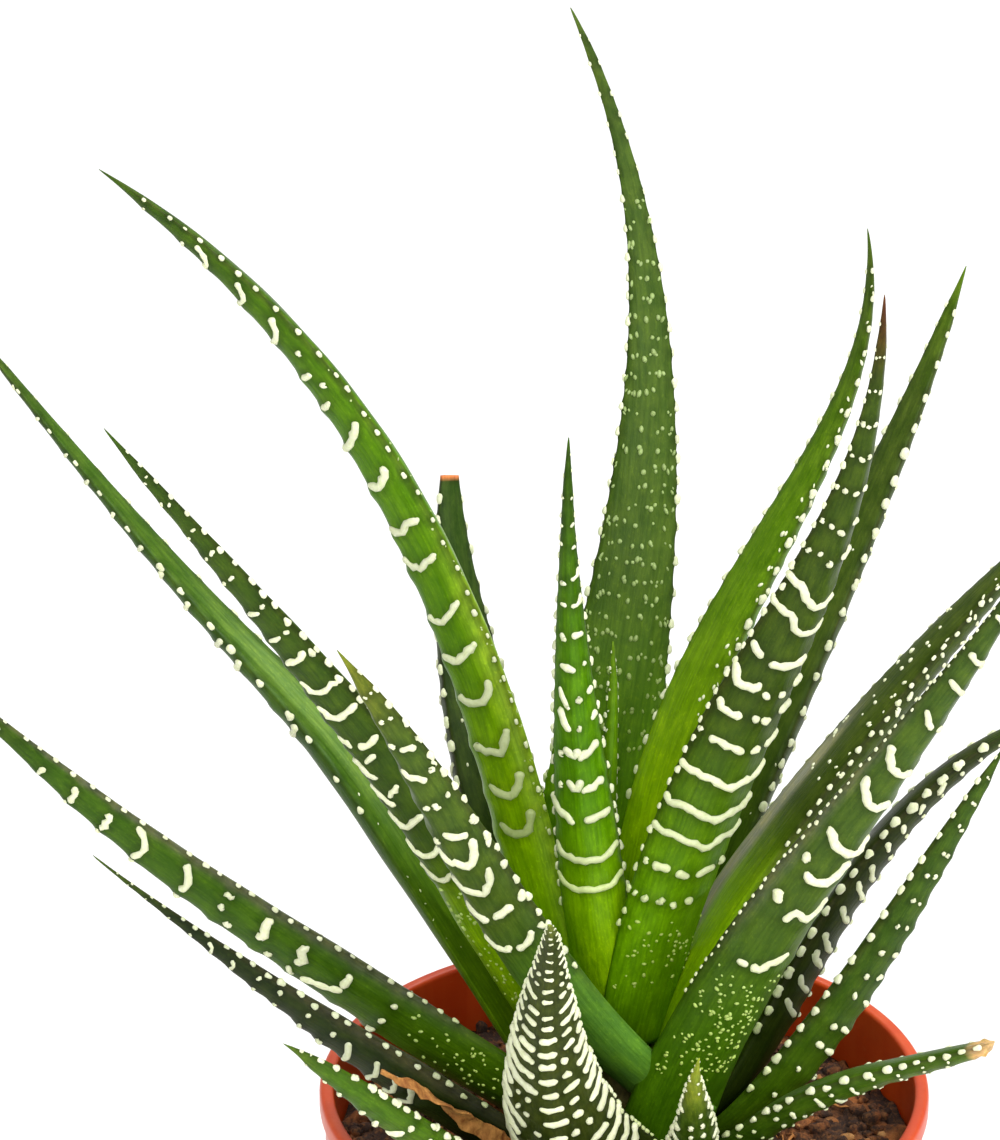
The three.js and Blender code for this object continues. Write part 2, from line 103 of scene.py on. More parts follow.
# Stations [x, y, z, width], compass angle of the keel, and the look. Colours are sRGB. Up to each share of
# the rows of warts, rows has the warts of one row, parted by commas: "92:156" is a wart along the row's own
# line between two angles in degrees, and "12+2 30+0.6 52 74-0.6" is one through points of its own, each its
# angle and its millimetres towards the tip.
LEAVES = {
    "leaf_heart_small": dict(
        stations=[[-1, -2, 88, 3.8], [-3, -3, 107.5, 3.4], [-2.5, -4, 126.5, 2.4], [-2, -4, 145.5, 0.9]],
        faces=300, slot="leaf_bright", foot=(118, 150, 4), body=(96, 142, 8), tip=(104, 142, 20), spacing=3,
        start=0.3, radius=0.3, kept=0.8, teeth=2, tooth=0.44,
        rows={1: "20:34, 146:162"},
    ),
    "leaf_heart_front": dict(
        stations=[[-1, -5, 87, 7.4], [-5, -8, 115.5, 8.5], [-7.5, -11, 149, 4.2], [-8, -13, 179.7, 0.9]],
        faces=266, slot="leaf_bright", foot=(124, 168, 0), body=(80, 132, 0), tip=(46, 76, 4),
        foot_end=(0.1, 0.46), tip_start=0.5, spacing=4.5, closer=0.7, start=0.25, end_marks=0.93, radius=0.6,
        full=6, stray=0.3, young=0.95, teeth=3, tooth=0.46,
        rows={
            0.12: "14+1.2 40 74-0.6 100-0.4 122-0.8 150+0.3 166+1", 0.25: "12+2 30+0.6 52 74-0.6, 92:156",
            0.36: "40:50, 62+1 84-0.4 96+1, 96-0.6 120 150+1", 0.5: "44+2 60 78-1, 100:112, 136:160",
            0.62: "48:102, 132:146", 0.7: "54:74, 96:146", 0.8: "44:78, 104-0.2 140 164+1.4",
            0.86: "40:70, 74 120+0.6 156+1", 1: "20:44, 120:150",
        },
    ),
    "leaf_right_green": dict(
        stations=[[0, 1, 86, 7.7], [9, 4, 134.5, 8.5], [25.3, 8, 168, 4.5], [31.5, 12, 199.3, 0.9]],
        faces=40, slot="leaf_bright", foot=(142, 186, 0), body=(82, 122, 0), tip=(62, 86, 16),
        foot_end=(0.16, 0.6), tip_start=0.6, spacing=4.6, start=0.3, radius=0.46, kept=0.8,
        inner=(0.34, 0.95, 1.6, 0.4), inner_side=(306, 350), teeth=3.6, tooth=0.5,
        rows={1: "6:20"},
    ),
    "leaf_left_arch": dict(
        stations=[[-3.5, 1, 82.5, 14.2], [-13.5, 4, 117, 12.4], [-30.5, 5.5, 165, 9], [-70.5, 6, 209.5, 0.9]],
        faces=205, slot="leaf_bright", foot=(146, 192, 0), body=(82, 128, 2), tip=(50, 78, 6),
        foot_end=(0.14, 0.46), tip_start=0.55, sheen=(154, 250, 0.06, 0.5, 0.9), painted_sheen_tint=(146, 184, 44),
        spacing=6.5, closer=0.84, end_marks=0.97, radius=0.64, full=8, young=0.8, stray=0.3,
        inner=(0.22, 0.8, 2.4, 0.22), inner_side=(170, 206), inner_wart=(200, 214, 150), teeth=3.4,
        tooth=0.32,
        rows={
            0.14: "104+1 116 140-0.4 150+0.2 158+3", 0.24: "98+0.6 110-0.2 128-0.6 146 152+1 154+2.6",
            0.32: "94+0.4 120-0.6 136+0.6 148+1.4 158+2.2", 0.4: "90+1.4 104+0.2 120-0.6 140+0.6 156+1.2",
            0.48: "88+0.4 116-0.3 138+0.9 158+1", 0.56: "94+0.4 118-0.2 132+0.6 152+2.4",
            0.64: "86-0.6 104 124+0.8 136+1.6 150+3", 0.7: "104:134, 136+2.4 146+2.8",
            0.9: "86 110-0.3 128+0.4 136+1.2 148+2.8", 1: "84:120",
        },
    ),
    "leaf_right_upright": dict(
        stations=[
            [1, -4, 85, 11.5], [13, -12, 134.5, 12.6], [26.2, -20, 169.5, 6.4], [32.5, -27, 206.5, 0.9],
        ],
        faces=304, slot="leaf_green", foot=(96, 146, 0), body=(54, 76, 10), tip=(80, 36, 20),
        foot_end=(0.16, 0.5), tip_start=0.88, spacing=5.5, closer=0.86, start=0.18, radius=0.7, full=9,
        stray=0.16, young=0.5, foot_dots=50, teeth=3.2, tooth=0.4,
        path=[
            (-2, 0.05), (14, 0.02), (40, 0.05), (58, 0.02), (76, -0.05), (92, 0.06), (112, 0.1), (134, 0.16),
        ],
        rows={
            0.02: "12:18, 26:36, 46:56, 66:74, 84:92", 0.07: "8:16, 22:46, 54:72, 80:104, 112:120",
            0.12: "10:24, 30:62, 70:118", 0.25: "-2:134", 0.3: "6:76, 82:90, 100:134",
            0.36: "0:8, 22:74, 80:92, 102:134", 0.41: "8+1.6 16+0.2 34-0.2 52, 62:72, 80:90, 104:132",
            0.47: "6+2 20+0.2 40-0.2 54+1, 64:76, 84:92, 108:130",
            0.53: "8+1 22 36-0.6, 52-1.2 66-1.4 80-1 108+0.8",
            0.6: "-2+1.6 24+1.2 44+0.8 62-0.8 74-1.6 96-1.4 124", 0.69: "12:22, 40:52, 66:78, 92:128",
            0.78: "8:18, 34:48, 66:84, 100:128", 1: "16:30, 52:66, 84:100",
        },
    ),
    "leaf_back_tall": dict(
        stations=[[-6, 4, 85, 15.5], [-1.8, 13.5, 128, 13.6], [2.6, 26.5, 173, 6.2], [-8.5, 38, 220.5, 0.9]],
        faces=92, slot="leaf_green", foot=(100, 150, 0), body=(58, 86, 16), tip=(60, 80, 14),
        foot_end=(0.24, 0.46), inside=(70, 94, 36), inside_mix=0.5, rim=(44, 34, 16), spacing=5.2,
        start=0.16, radius=0.42, join=(0.6, 0.1), inner=(0.24, 0.82, 15, 0.42), inner_side=(200, 340),
        inner_wart=(156, 178, 110), teeth=3.6, tooth=0.46,
    ),
    "leaf_back_right": dict(
        stations=[[3, 5, 78, 11], [14.5, 17, 109.5, 10.5], [31, 31, 144.5, 6.5], [46.5, 45, 180, 0.9]],
        faces=45, slot="leaf_dark", foot=(66, 94, 8), body=(60, 82, 20), tip=(74, 104, 10), spacing=4.8,
        radius=0.42, join=(0.5, 0.1), inner=(0.3, 0.9, 0.5, 0.32), inner_side=(190, 340), teeth=4,
        tooth=0.52,
    ),
    "leaf_right_broad": dict(
        stations=[[3, 0, 77, 14.5], [12.5, -1.5, 102.5, 11.9], [35.5, 3.5, 134.5, 7.8], [59.5, 8, 160, 0.9]],
        faces=12, slot="leaf_green", foot=(140, 188, 0), body=(56, 74, 12), tip=(56, 74, 14),
        foot_end=(0.26, 0.48), sheen=(214, 262, 0.16, 0.6, 1), painted_sheen_tint=(150, 150, 132),
        inside=(60, 78, 24), inside_mix=0.3, spacing=3.3, start=0.52, radius=0.4, kept=0.6,
        inner=(0.5, 0.95, 3.6, 0.38), inner_side=(226, 352), teeth=2.4, tooth=0.34,
        rows={1: "10:22, 40:52, 68:78"},
    ),
    "leaf_back_cut": dict(
        stations=[[-4.5, 5, 75, 9.1], [-14.5, 16, 101, 13.4], [-22, 27, 126.5, 9.3], [-25, 37, 151, 2.8]],
        faces=125, slot="leaf_dark", foot=(48, 66, 8), body=(42, 62, 10), tip=(46, 74, 16), end="cut",
        spacing=4.8, radius=0.42, join=(0.5, 0.1), inner=(0.4, 0.9, 0.6, 0.32), inner_side=(190, 340),
        teeth=4, tooth=0.52,
    ),
    "leaf_left_front": dict(
        stations=[
            [9, -9, 76.5, 13.1], [-11.5, -18, 105.5, 11.3], [-23, -30, 133, 8], [-37.5, -42, 162.5, 0.9],
        ],
        faces=236, slot="leaf_dark", foot=(80, 126, 40), body=(64, 88, 24), tip=(108, 118, 34),
        foot_end=(0.26, 0.5), spacing=5.9, closer=0.8, start=0.4, radius=0.68, full=8, stray=0.2, young=0.2,
        teeth=3.2, tooth=0.5,
        rows={
            0.1: "66+1.4 84+0.2 104-0.2 112, 120 140+0.6 152+2, 168:176",
            0.22: "66+2.4 82+0.8 104, 112 130+0.2 146+1.4, 166+1 176+2.4",
            0.36: "70+2.6 88+0.6 106 122-0.4 136+1 146+4, 166+1.4 176+3",
            0.5: "84:94, 104+0.4 126-0.4 146-1, 168:176", 0.64: "96:106, 118:128, 150:162",
            0.76: "84+1.6 96+0.2 112 132-1, 150:160, 170:178", 0.88: "88+1.4 104+0.6, 112 160-0.4, 170:178",
            1: "104:114, 140:152",
        },
    ),
    "leaf_left_banded": dict(
        stations=[
            [-6, -4, 78, 11.3], [-22.5, -12, 117.5, 11.9], [-38.5, -22.5, 148, 7.8], [-67.5, -34, 190, 0.9],
        ],
        faces=222, slot="leaf_green", foot=(124, 168, 0), body=(52, 78, 8), tip=(52, 80, 10),
        foot_end=(0.2, 0.4), rim=(40, 34, 16), spacing=5.3, closer=0.8, start=0.31, radius=0.57, full=8,
        young=0.3, foot_dots=80, foot_side=(84, 150), teeth=2.8, tooth=0.42,
        rows={
            0.2: "78+2 90+0.2 106-0.6 124+0.4 138+1", 0.3: "84+2.4 98 112-1.4, 106+1 132+2.4",
            0.42: "86+1.6 106-0.4, 118-0.2 140-0.4 162+0.2", 0.5: "92+2.2 104 128-0.4 150+0.2 170+0.6",
            0.6: "98 126 154+0.8, 166 172+1", 0.7: "100:136, 150:160", 0.8: "96:108, 124:146",
            1: "96:110, 136:156",
        },
    ),
    "leaf_left_far": dict(
        stations=[[-7, 0, 74, 13.4], [-37, 2.5, 122.5, 9], [-53, 7, 140, 5.9], [-88.5, 13, 183, 0.9]],
        faces=155, slot="leaf_green", foot=(84, 118, 4), body=(50, 84, 12), tip=(56, 74, 22),
        inside=(70, 104, 28), inside_mix=0.5, sheen=(236, 300, 0.36, 0.62, 0.6), painted_sheen_tint=(122, 158, 84),
        rim=(60, 80, 24), spacing=5.7, start=0.46, radius=0.56, full=5, kept=0.9, young=0.2,
        inner=(0.2, 0.5, 0.9, 0.24), inner_side=(184, 232), teeth=5.4, tooth=0.46,
        rows={1: "128:176"},
    ),
    "leaf_back_mid": dict(
        LOW_BACK, stations=[[0.5, 9, 76, 12], [1.5, 21, 93, 11], [0.5, 32, 111, 6.6], [-1.5, 41, 127, 0.9]],
        faces=88, slot="leaf_green", foot=(92, 124, 6), body=(64, 94, 18), tip=(60, 84, 22), spacing=4.4,
        radius=0.5, join=(0.8, 0.3), inner=(0.3, 0.9, 2, 0.26), teeth=4,
    ),
    "leaf_right_banded": dict(
        stations=[[5, -7, 70, 16.1], [18.5, -19, 110, 12.2], [37.5, -32.5, 147.5, 6.4], [53, -48, 182, 0.9]],
        faces=300, slot="leaf_green", foot=(64, 106, 4), body=(62, 88, 22), tip=(60, 82, 20),
        foot_end=(0.1, 0.44), inside=(66, 76, 44), inside_mix=0.7, sheen=(-8, 14, 0.36, 0.7, 0.5),
        spacing=7.4, closer=0.74, start=0.3, radius=0.74, full=8, stray=0.2, young=0.25, foot_dots=150,
        foot_side=(20, 112), teeth=1.7, tooth=0.24,
        rows={
            0.06: "34:50, 56 70-0.4 80+1.4 100+3, 66:72",
            0.2: "28+3 40+1.4, 58-0.6 70+1 90+0.2 106+1.6 108+4",
            0.3: "30+2.6 38+1.4, 44 60-0.8 78-0.8 92+0.6 98+3.6",
            0.42: "30+2.2 44+1.2 58-0.2 82-0.8 104-0.8 116+1.2", 0.54: "28+3 36+1.6 50 72-1 100+0.4",
            0.64: "32+2.4 42+1.6 50+0.4, 58+0.8 70-0.4 92-1.4 116-1",
            0.72: "38+2.4 60+0.6 76-0.2, 94-0.4 120-1.4", 1: "36+1 70 96-0.4 116-1.4",
        },
    ),
    "leaf_left_low": dict(
        stations=[[-5, -4, 70, 16.9], [-37, -9, 97, 11.5], [-62, -13.5, 118, 7.6], [-89.5, -18, 145, 0.9]],
        faces=238, slot="leaf_green", foot=(60, 92, 2), body=(54, 88, 6), tip=(50, 72, 14),
        foot_end=(0.12, 0.5), inside=(104, 108, 88), inside_mix=0.9, sheen=(170, 200, 0.24, 0.95, 0.8),
        painted_sheen_tint=(112, 116, 94), spacing=6.7, start=0.3, radius=0.72, full=8.5, stray=0.2, young=0.2,
        foot_dots=46, foot_side=(96, 156), inner=(0.3, 0.9, 0.6, 0.24), teeth=3.2, tooth=0.34,
        rows={
            0.07: "84:96, 116:124, 146:154", 0.18: "98+5.4 104+3.6 116+0.8 128, 130+0.2 156+0.6",
            0.28: "122+0.2 132-0.6 142+0.8 158+0.4, 100:106", 0.38: "122+0.2 136 148+1 162+0.6, 98-3 106-3",
            0.5: "124:134, 152:162, 100-2.6 110-2.8", 0.6: "108-0.2 122-0.2 150+1.2 160+2, 82:90",
            0.7: "98 112-0.4 132-0.4 148+0.3 162+2.2, 82:90", 0.86: "100 114-0.4 134 154+0.4, 80:90",
            1: "92:132",
        },
    ),
    "leaf_front_dense": dict(
        stations=[[0.5, -11, 70, 22.1], [-9, -26, 89, 14.1], [-10, -40, 113.5, 5.2], [-10, -54, 129, 0.9]],
        faces=262, slot="leaf_dark", foot=(40, 54, 12), body=(58, 70, 22), tip=(124, 138, 52),
        tip_start=0.86, spacing=2.7, closer=0.55, start=0.12, radius=0.62, full=10, stray=0.1, young=0,
        waver=0.1, teeth=1.5, tooth=0.36,
        path=[
            (2, 0.3), (14, 0.2), (32, 0.13), (50, 0.06), (68, 0.02), (88, -0.03), (108, -0.02), (126, 0.05),
            (146, 0.12), (164, 0.2), (178, 0.32),
        ],
        rows={
            0.07: "4:40, 46:84, 96:178", 0.14: "2:52, 62:80, 90:104, 112:126, 134:178",
            0.21: "6:44, 52:76, 86:114, 124:150, 156:176",
            0.27: "2:60, 68:76, 84:104, 110:120, 130:138, 146:178",
            0.34: "4:36, 44:50, 58:66, 82:112, 118:132, 142:178", 0.42: "2:80, 86:108, 114:140, 150:178",
            0.5: "4:74, 82:110, 116:130, 142:178", 0.58: "2:30, 36:72, 80:114, 126:150, 158:178",
            0.66: "4:30, 40:72, 84:110, 124:178", 0.74: "4:66, 80:110, 126:152, 160:178",
            0.82: "4:34, 44:60, 76:112, 134:150, 162:178", 1: "4:40, 74:108, 140:178",
        },
    ),
    "leaf_right_thin": dict(
        stations=[[8, 1, 70, 10.1], [19, 4, 83.5, 9.2], [33.5, 9.5, 107.5, 6.9], [59.5, 15, 126.5, 0.9]],
        faces=350, slot="leaf_dark", foot=(44, 60, 12), body=(42, 54, 14), tip=(56, 84, 12), spacing=3.9,
        start=0.24, radius=0.6, stray=0.3, young=0.1, inner=(0.3, 0.95, 0.5, 0.3), teeth=3.2, tooth=0.6,
        rows={0.5: "26+1.6 44 66-0.6, 84:94", 0.75: "24+1.4 40, 56:66", 1: "34:44"},
    ),
    "leaf_right_low": dict(
        stations=[[8, -3, 68, 11.2], [24, -5, 84.5, 10], [38, -6, 108, 6.2], [51.5, -7, 132.5, 0.9]],
        faces=325, slot="leaf_dark", foot=(56, 86, 4), body=(54, 82, 14), tip=(54, 80, 14),
        foot_end=(0.2, 0.5), spacing=4.2, radius=0.56, full=8, stray=0.3, young=0.2, teeth=3.4, tooth=0.5,
        rows={
            0.14: "40:48, 92:98", 0.24: "40:54, 64:84", 0.5: "38:48, 70:84", 0.75: "36:44, 62:70",
            1: "44:54, 64:70",
        },
    ),
    "leaf_left_thin": dict(
        stations=[[-7, -8, 67.5, 10.2], [-27, -18, 86, 10.4], [-51, -26, 107.8, 4], [-70.5, -33, 127.5, 0.9]],
        faces=230, slot="leaf_dark", foot=(30, 40, 10), body=(30, 44, 10), tip=(60, 84, 14),
        inside=(78, 76, 68), inside_mix=0.9, sheen=(162, 220, 0.1, 0.66, 0.6), painted_sheen_tint=(70, 70, 56),
        spacing=4.3, start=0.3, radius=0.52, stray=0.3, young=0, wart=(206, 212, 178), teeth=2.8, tooth=0.42,
        rows={
            0.14: "86+1 104 126+1.4 138+2.6", 0.24: "92 112 142+2", 0.42: "92:104, 138:150",
            0.62: "96:104, 140:152", 0.72: "98 120 144+0.8", 1: "96:116",
        },
    ),
    "leaf_right_low_dry": dict(
        stations=[[9, -10, 68.5, 8.9], [22.5, -19, 83.5, 7.1], [33, -25, 91.5, 5.1], [49.5, -31, 99.5, 3]],
        faces=318, slot="leaf_green", foot=(56, 92, 10), body=(66, 98, 16), tip=(206, 168, 122), end="dry",
        spacing=3.7, end_marks=0.9, radius=0.44, full=8, join=(0.2, 0.1), piece=(1.4, 2.6), foot_dots=16,
        teeth=2.8, tooth=0.46,
    ),
    "leaf_front_small": dict(
        stations=[[4, -14, 67, 7.4], [9, -23, 78.5, 6.9], [9.5, -31, 89.5, 3.7], [10, -38, 100.5, 0.9]],
        faces=280, slot="leaf_green", foot=(40, 58, 12), body=(60, 88, 16), tip=(160, 176, 60),
        foot_end=(0.3, 0.6), tip_start=0.62, spacing=2.7, end_marks=0.9, radius=0.52, full=5, kept=0.95,
        stray=0.2, teeth=1.7, tooth=0.42,
        rows={
            0.5: "4:38, 60:76, 100:118, 146:176", 0.75: "4:30, 66:78, 104:116, 150:176",
            1: "4:24, 104:114, 146:176",
        },
    ),
    "leaf_front_left_short": dict(
        stations=[[-7, -10, 67, 10.1], [-19.5, -24, 76.5, 8.4], [-32, -35, 91.5, 6], [-45, -45, 106, 0.9]],
        faces=238, slot="leaf_green", foot=(60, 96, 10), body=(66, 104, 10), tip=(76, 104, 24), spacing=4.3,
        start=0.24, radius=0.66, stray=0.2, young=0, rim=(52, 74, 20), teeth=2.9, tooth=0.5,
        rows={
            0.3: "80+2 96+0.2 116 130+0.4, 170-0.6 196-0.4 214+1.4",
            0.55: "86+0.8 110 128, 140:154, 190 206+1", 0.8: "84:104, 186 200+0.8", 1: "84:94, 184:194",
        },
    ),
    "leaf_back_low": dict(
        LOW_BACK, stations=[[0, 9, 69, 10], [1, 22, 76, 10], [0, 34, 84, 6.5], [-1, 46, 92, 0.9]],
        faces=92, slot="leaf_green", foot=(76, 112, 10), body=(60, 90, 16), tip=(62, 86, 22), spacing=3.6,
        radius=0.5, join=(0.7, 0.3), teeth=3.4,
    ),
    "leaf_back_low_left": dict(
        LOW_BACK, stations=[[-4, 6, 68, 9], [-12, 17, 75, 8.4], [-19, 28, 80.5, 5], [-25, 38, 84, 0.9]],
        faces=118,
    ),
    "leaf_back_low_right": dict(
        LOW_BACK, stations=[[3, 7, 69, 9], [9, 19, 78, 8.4], [14, 31, 86, 5], [18, 42, 92, 0.9]],
        faces=68,
    ),
    "leaf_front_left_low": dict(
        LOW_FRONT,
        stations=[[-4, -15, 67.5, 7.6], [-10.5, -29, 75.5, 7.6], [-16.5, -42, 84, 5], [-22, -53, 93.5, 0.9]],
        faces=250,
    ),
    "leaf_front_low": dict(
        LOW_FRONT,
        stations=[[7, -15, 67.5, 7.4], [14, -29, 75.5, 7.6], [20.5, -42, 84, 5], [25, -53, 93.5, 0.9]],
        faces=282, slot="leaf_dark", foot=(54, 82, 10), body=(50, 70, 16), tip=(66, 86, 22),
    ),
    "leaf_front_right_low": dict(
        LOW_FRONT,
        stations=[[10.5, -12.5, 67.5, 7.4], [22, -22.5, 74, 7.6], [33, -32, 81.5, 5], [43, -41, 88, 0.9]],
        faces=310,
    ),
}

# What a leaf has where its own entry doesn't say otherwise.
PLAIN_LEAF = dict(
    foot_end=(0.12, 0.42),  # where the foot's colour fades out, as shares of the length
    tip_start=0.82,
    inside=None,  # tint of the inner side, and how much of it: partly the inner side's own colour and partly painted sheen
    inside_mix=0,
    sheen=None,  # painted sheen, a pale highlight band laid into the colour: from and to in degrees, then along the leaf, and how much of it
    painted_sheen_tint=PAINTED_SHEEN_TINT,
    rim=RIM_TINT,
    end="point",
    start=0.2,  # where the rows of warts start and end
    end_marks=0.95,
    closer=0.9,  # the spacing of the rows at the tip as a share of that at the foot
    # A row's line round the outer side: degrees, and how far towards the tip, as a share of the width.
    path=[(8, 0.12), (24, 0.02), (60, -0.04), (90, -0.07), (120, -0.04), (156, 0.02), (172, 0.12)],
    rows={},
    kept=1,  # the share of the rows' warts that is there
    join=(0.5, 0.2),  # where rows has none, how often warts join, at the first and the last row
    piece=(2, 5),  # length of a joined wart
    stray=0.25,  # of a wart from its row
    waver=0.2,  # of a wart's line
    full=7,  # a narrower leaf has finer warts
    young=0.7,  # how green the warts are at the foot
    wart=WART,
    inner_wart=WART,
    foot_dots=0,
    foot_side=(20, 160),
    inner=None,  # start, end, dots a row and their radius on the inner side
    inner_side=(196, 344),
)


def linear(colour):
    """An sRGB colour as three linear numbers."""
    shares = [c / 255 for c in colour]
    return np.array([c / 12.92 if c <= 0.04045 else ((c + 0.055) / 1.055) ** 2.4 for c in shares])


CREAM = linear(WART)


def smooth(low, high, x):
    u = np.clip((x - low) / (high - low), 0, 1)
    return u * u * (3 - 2 * u)


def window(low, high, x, soft):
    """1 between low and high, fading out over a soft stretch (outside, inside) of each end."""
    outside, inside = soft
    return smooth(low - outside, low + inside, x) * (1 - smooth(high - inside, high + outside, x))


def blend(a, b, share):
    """a where share is 0 and b where it is 1."""
    return a + (b - a) * share


def unit(vectors):
    return vectors / np.maximum(np.linalg.norm(vectors, axis=-1, keepdims=True), 1e-12)


def on_circle(radius, angle, height):
    return (radius * math.cos(angle), radius * math.sin(angle), height)


def turns(count, offset=0.0):
    """Evenly spaced angles once round."""
    return 2 * math.pi * (np.arange(count) + offset) / count


def cubic(stations, t):
    """The cubic through four evenly spaced stations, at each t from 0 to 1."""
    u = 3 * np.asarray(t, float)[:, None]
    weights = [
        (1 - u) * (2 - u) * (3 - u) / 6,
        u * (2 - u) * (3 - u) / 2,
        u * (u - 1) * (3 - u) / 2,
        u * (u - 1) * (u - 2) / 6,
    ]
    return sum(weight * station for weight, station in zip(weights, stations))


class Blade:
    """The smooth form of a leaf: a keeled section carried along a curved midrib."""

    def __init__(self, stations, faces, end="point"):
        self.stations = np.array(stations, float)
        self.heading = np.array(on_circle(1, math.radians(faces), 0.0))
        self.times = np.linspace(0, 1, SPINE_POINTS)
        steps = np.diff(cubic(self.stations[:, :3], self.times), axis=0)
        self.lengths = np.concatenate([[0], np.cumsum(np.linalg.norm(steps, axis=1))])
        self.length = self.lengths[-1]
        self.end = end

    def lay_out(self, look, rng):
        """Places the rows of warts and the teeth along the leaf."""
        start = look["start"] * self.length
        reach = look["end_marks"] * self.length - start
        count = max(2, int(round(reach / look["spacing"])))
        share = (np.arange(count) + 0.5 + np.array([rng.uniform(-0.12, 0.12) for _ in range(count)])) / count
        closer = look["closer"]
        self.rows = start + reach * (2 * share + (closer - 1) * share**2) / (1 + closer)
        self.row_rise = np.array([SWELL * rng.uniform(0.7, 1.1) for _ in range(count)])
        self.path = np.array(look["path"], float)
        self.teeth = []
        for _ in range(2):
            at = start * 0.8 + rng.uniform(0, look["teeth"])
            teeth = []
            while at < self.length * 0.975:
                teeth.append(at)
                at += look["teeth"] * rng.uniform(0.7, 1.3)
            self.teeth.append(np.array(teeth))

    def time(self, along):
        return np.interp(along, self.lengths, self.times)

    def width(self, along):
        width = np.maximum(cubic(self.stations[:, 3:], self.time(along))[:, 0], THINNEST)
        if self.end == "cut":
            return width
        taper = DRY_TAPER if self.end == "dry" else TIP_TAPER
        left = np.clip((self.length - along) / taper, 0, 1)
        return width * (BLUNT["least"] + (1 - BLUNT["least"]) * left ** BLUNT["power"])

    def width_at(self, place):
        return self.width(np.array([place]))[0]

    def axes(self, along):
        """The midrib's point, and the directions towards the keel and to the side."""
        t = self.time(along)
        step = 1e-3
        ahead = cubic(self.stations[:, :3], np.minimum(t + step, 1))
        behind = cubic(self.stations[:, :3], np.maximum(t - step, 0))
        tangent = unit(ahead - behind)
        lean = (tangent @ self.heading)[:, None]
        keelward = unit(self.heading * tangent[:, 2:] - np.array([0, 0, 1.0]) * lean)
        return cubic(self.stations[:, :3], t), keelward, np.cross(keelward, tangent)

    def row_offset(self, along, angle):
        """How far a row of warts strays towards the tip there, from a row square to the leaf."""
        return self.width(along) * np.interp(np.degrees(angle), self.path[:, 0], self.path[:, 1])

    def swelling(self, along, angle):
        """How far the leaf swells there under its warts, on the outer side."""
        off = (along - self.row_offset(along, angle))[:, None] - self.rows
        reach = np.where(off > 0, SWELL_REACH["ahead"], SWELL_REACH["behind"])
        bumps = np.exp(-((off / reach) ** 2)) * self.row_rise
        low, high = np.radians(self.path[[0, -1], 0])
        return bumps.max(axis=1) * window(low, high, angle, (0.2, 0.15))

    def serration(self, along, angle):
        """How far the margins stand out at their teeth."""
        out = np.zeros_like(along)
        for teeth, near in zip(self.teeth, (np.cos(angle) > 0, np.cos(angle) < 0)):
            for tooth in teeth:
                out = np.maximum(out, near * np.exp(-(((along - tooth) / TOOTH_REACH) ** 2)))
        return TOOTH_RISE * out * np.abs(np.cos(angle)) ** 10

    def surface(self, along, angle):
        """Points of the surface. Angles run from one margin over the keel (90 degrees) to the other margin
        (180) and back over the inner side."""
        along = np.asarray(along, float)
        angle = np.asarray(angle, float)
        centre, keelward, sideward = self.axes(along)
        t = self.time(along)
        width = self.width(along)
        body = blend(BODY_THICKNESS, TIP_THICKNESS, t)
        thickness = width * blend(FOOT_THICKNESS, body, smooth(0, FOOT_END, t))
        lift = np.abs(np.sin(angle))
        crest = np.exp(-(((angle - math.pi / 2) / RIDGE["spread"]) ** 2))
        ridge = RIDGE["height"] * crest * smooth(0.1, 0.5, t)
        outer = thickness * KEEL_SHARE * (lift**FLANK_POWER * FLANK_RISE + ridge)
        inner = thickness * blend(CHANNEL, -INNER_SWELL, smooth(0, CHANNEL_END, t)) * lift**INNER_POWER
        relief = np.minimum(1, width / SLENDER)
        short, long = WAVE["lengths"]
        wave = WAVE["height"] * np.sin(along / short + 2 * angle) * np.sin(along / long - angle) * relief
        out = np.where(np.sin(angle) > 0, outer + self.swelling(along, angle) * relief, inner) + wave * lift
        side = width / 2 * np.cos(angle) + np.sign(np.cos(angle)) * self.serration(along, angle) * relief
        return centre + sideward * side[:, None] + keelward * out[:, None]

    def normal(self, along, angle):
        """The surface's outward direction, without the swellings' fine detail."""
        step_along, step_angle = 0.4, 0.05
        ahead = self.surface(np.minimum(along + step_along, self.length), angle)
        behind = self.surface(np.maximum(along - step_along, 0), angle)
        left = self.surface(along, angle + step_angle)
        right = self.surface(along, angle - step_angle)
        return unit(np.cross(left - right, ahead - behind))


# ---- Meshes ----


class Pile:
    """Many small closed forms that become one mesh."""

    def __init__(self):
        self.points = []
        self.faces = []
        self.colours = []
        self.count = 0

    def add(self, points, faces, colour=CREAM):
        self.points.append(points)
        self.faces.extend([[corner + self.count for corner in face] for face in faces])
        self.colours.append(np.tile(np.append(colour, 1.0), (len(points), 1)))
        self.count += len(points)

    def build(self, name, slot):
        return make_piece(name, np.concatenate(self.points), self.faces, slot, np.concatenate(self.colours))


def make_piece(name, points, faces, slot, colours=None, grain=None):
    """A smooth-shaded mesh object, from points in millimetres."""
    mesh = bpy.data.meshes.new(name)
    mesh.from_pydata((np.asarray(points) * MM).tolist(), [], [list(face) for face in faces])
    mesh.materials.append(MATERIALS[slot])
    mesh.polygons.foreach_set("use_smooth", [True] * len(mesh.polygons))
    if colours is not None:
        layer = mesh.color_attributes.new("tint", "FLOAT_COLOR", "POINT")
        layer.data.foreach_set("color", np.asarray(colours, np.float32).ravel())
    if grain is not None:
        layer = mesh.attributes.new("grain", "FLOAT_VECTOR", "POINT")
        layer.data.foreach_set("vector", np.asarray(grain, np.float32).ravel())
    mesh.update()
    piece = bpy.data.objects.new(name, mesh)
    bpy.context.scene.collection.objects.link(piece)
    return piece


def attach(piece, slot, *nodes):
    """Lets a piece ride on the body and hides the CAD nodes that it stands for; slot is not used."""
    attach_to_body(piece, BODY)
    if nodes:
        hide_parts(*nodes)


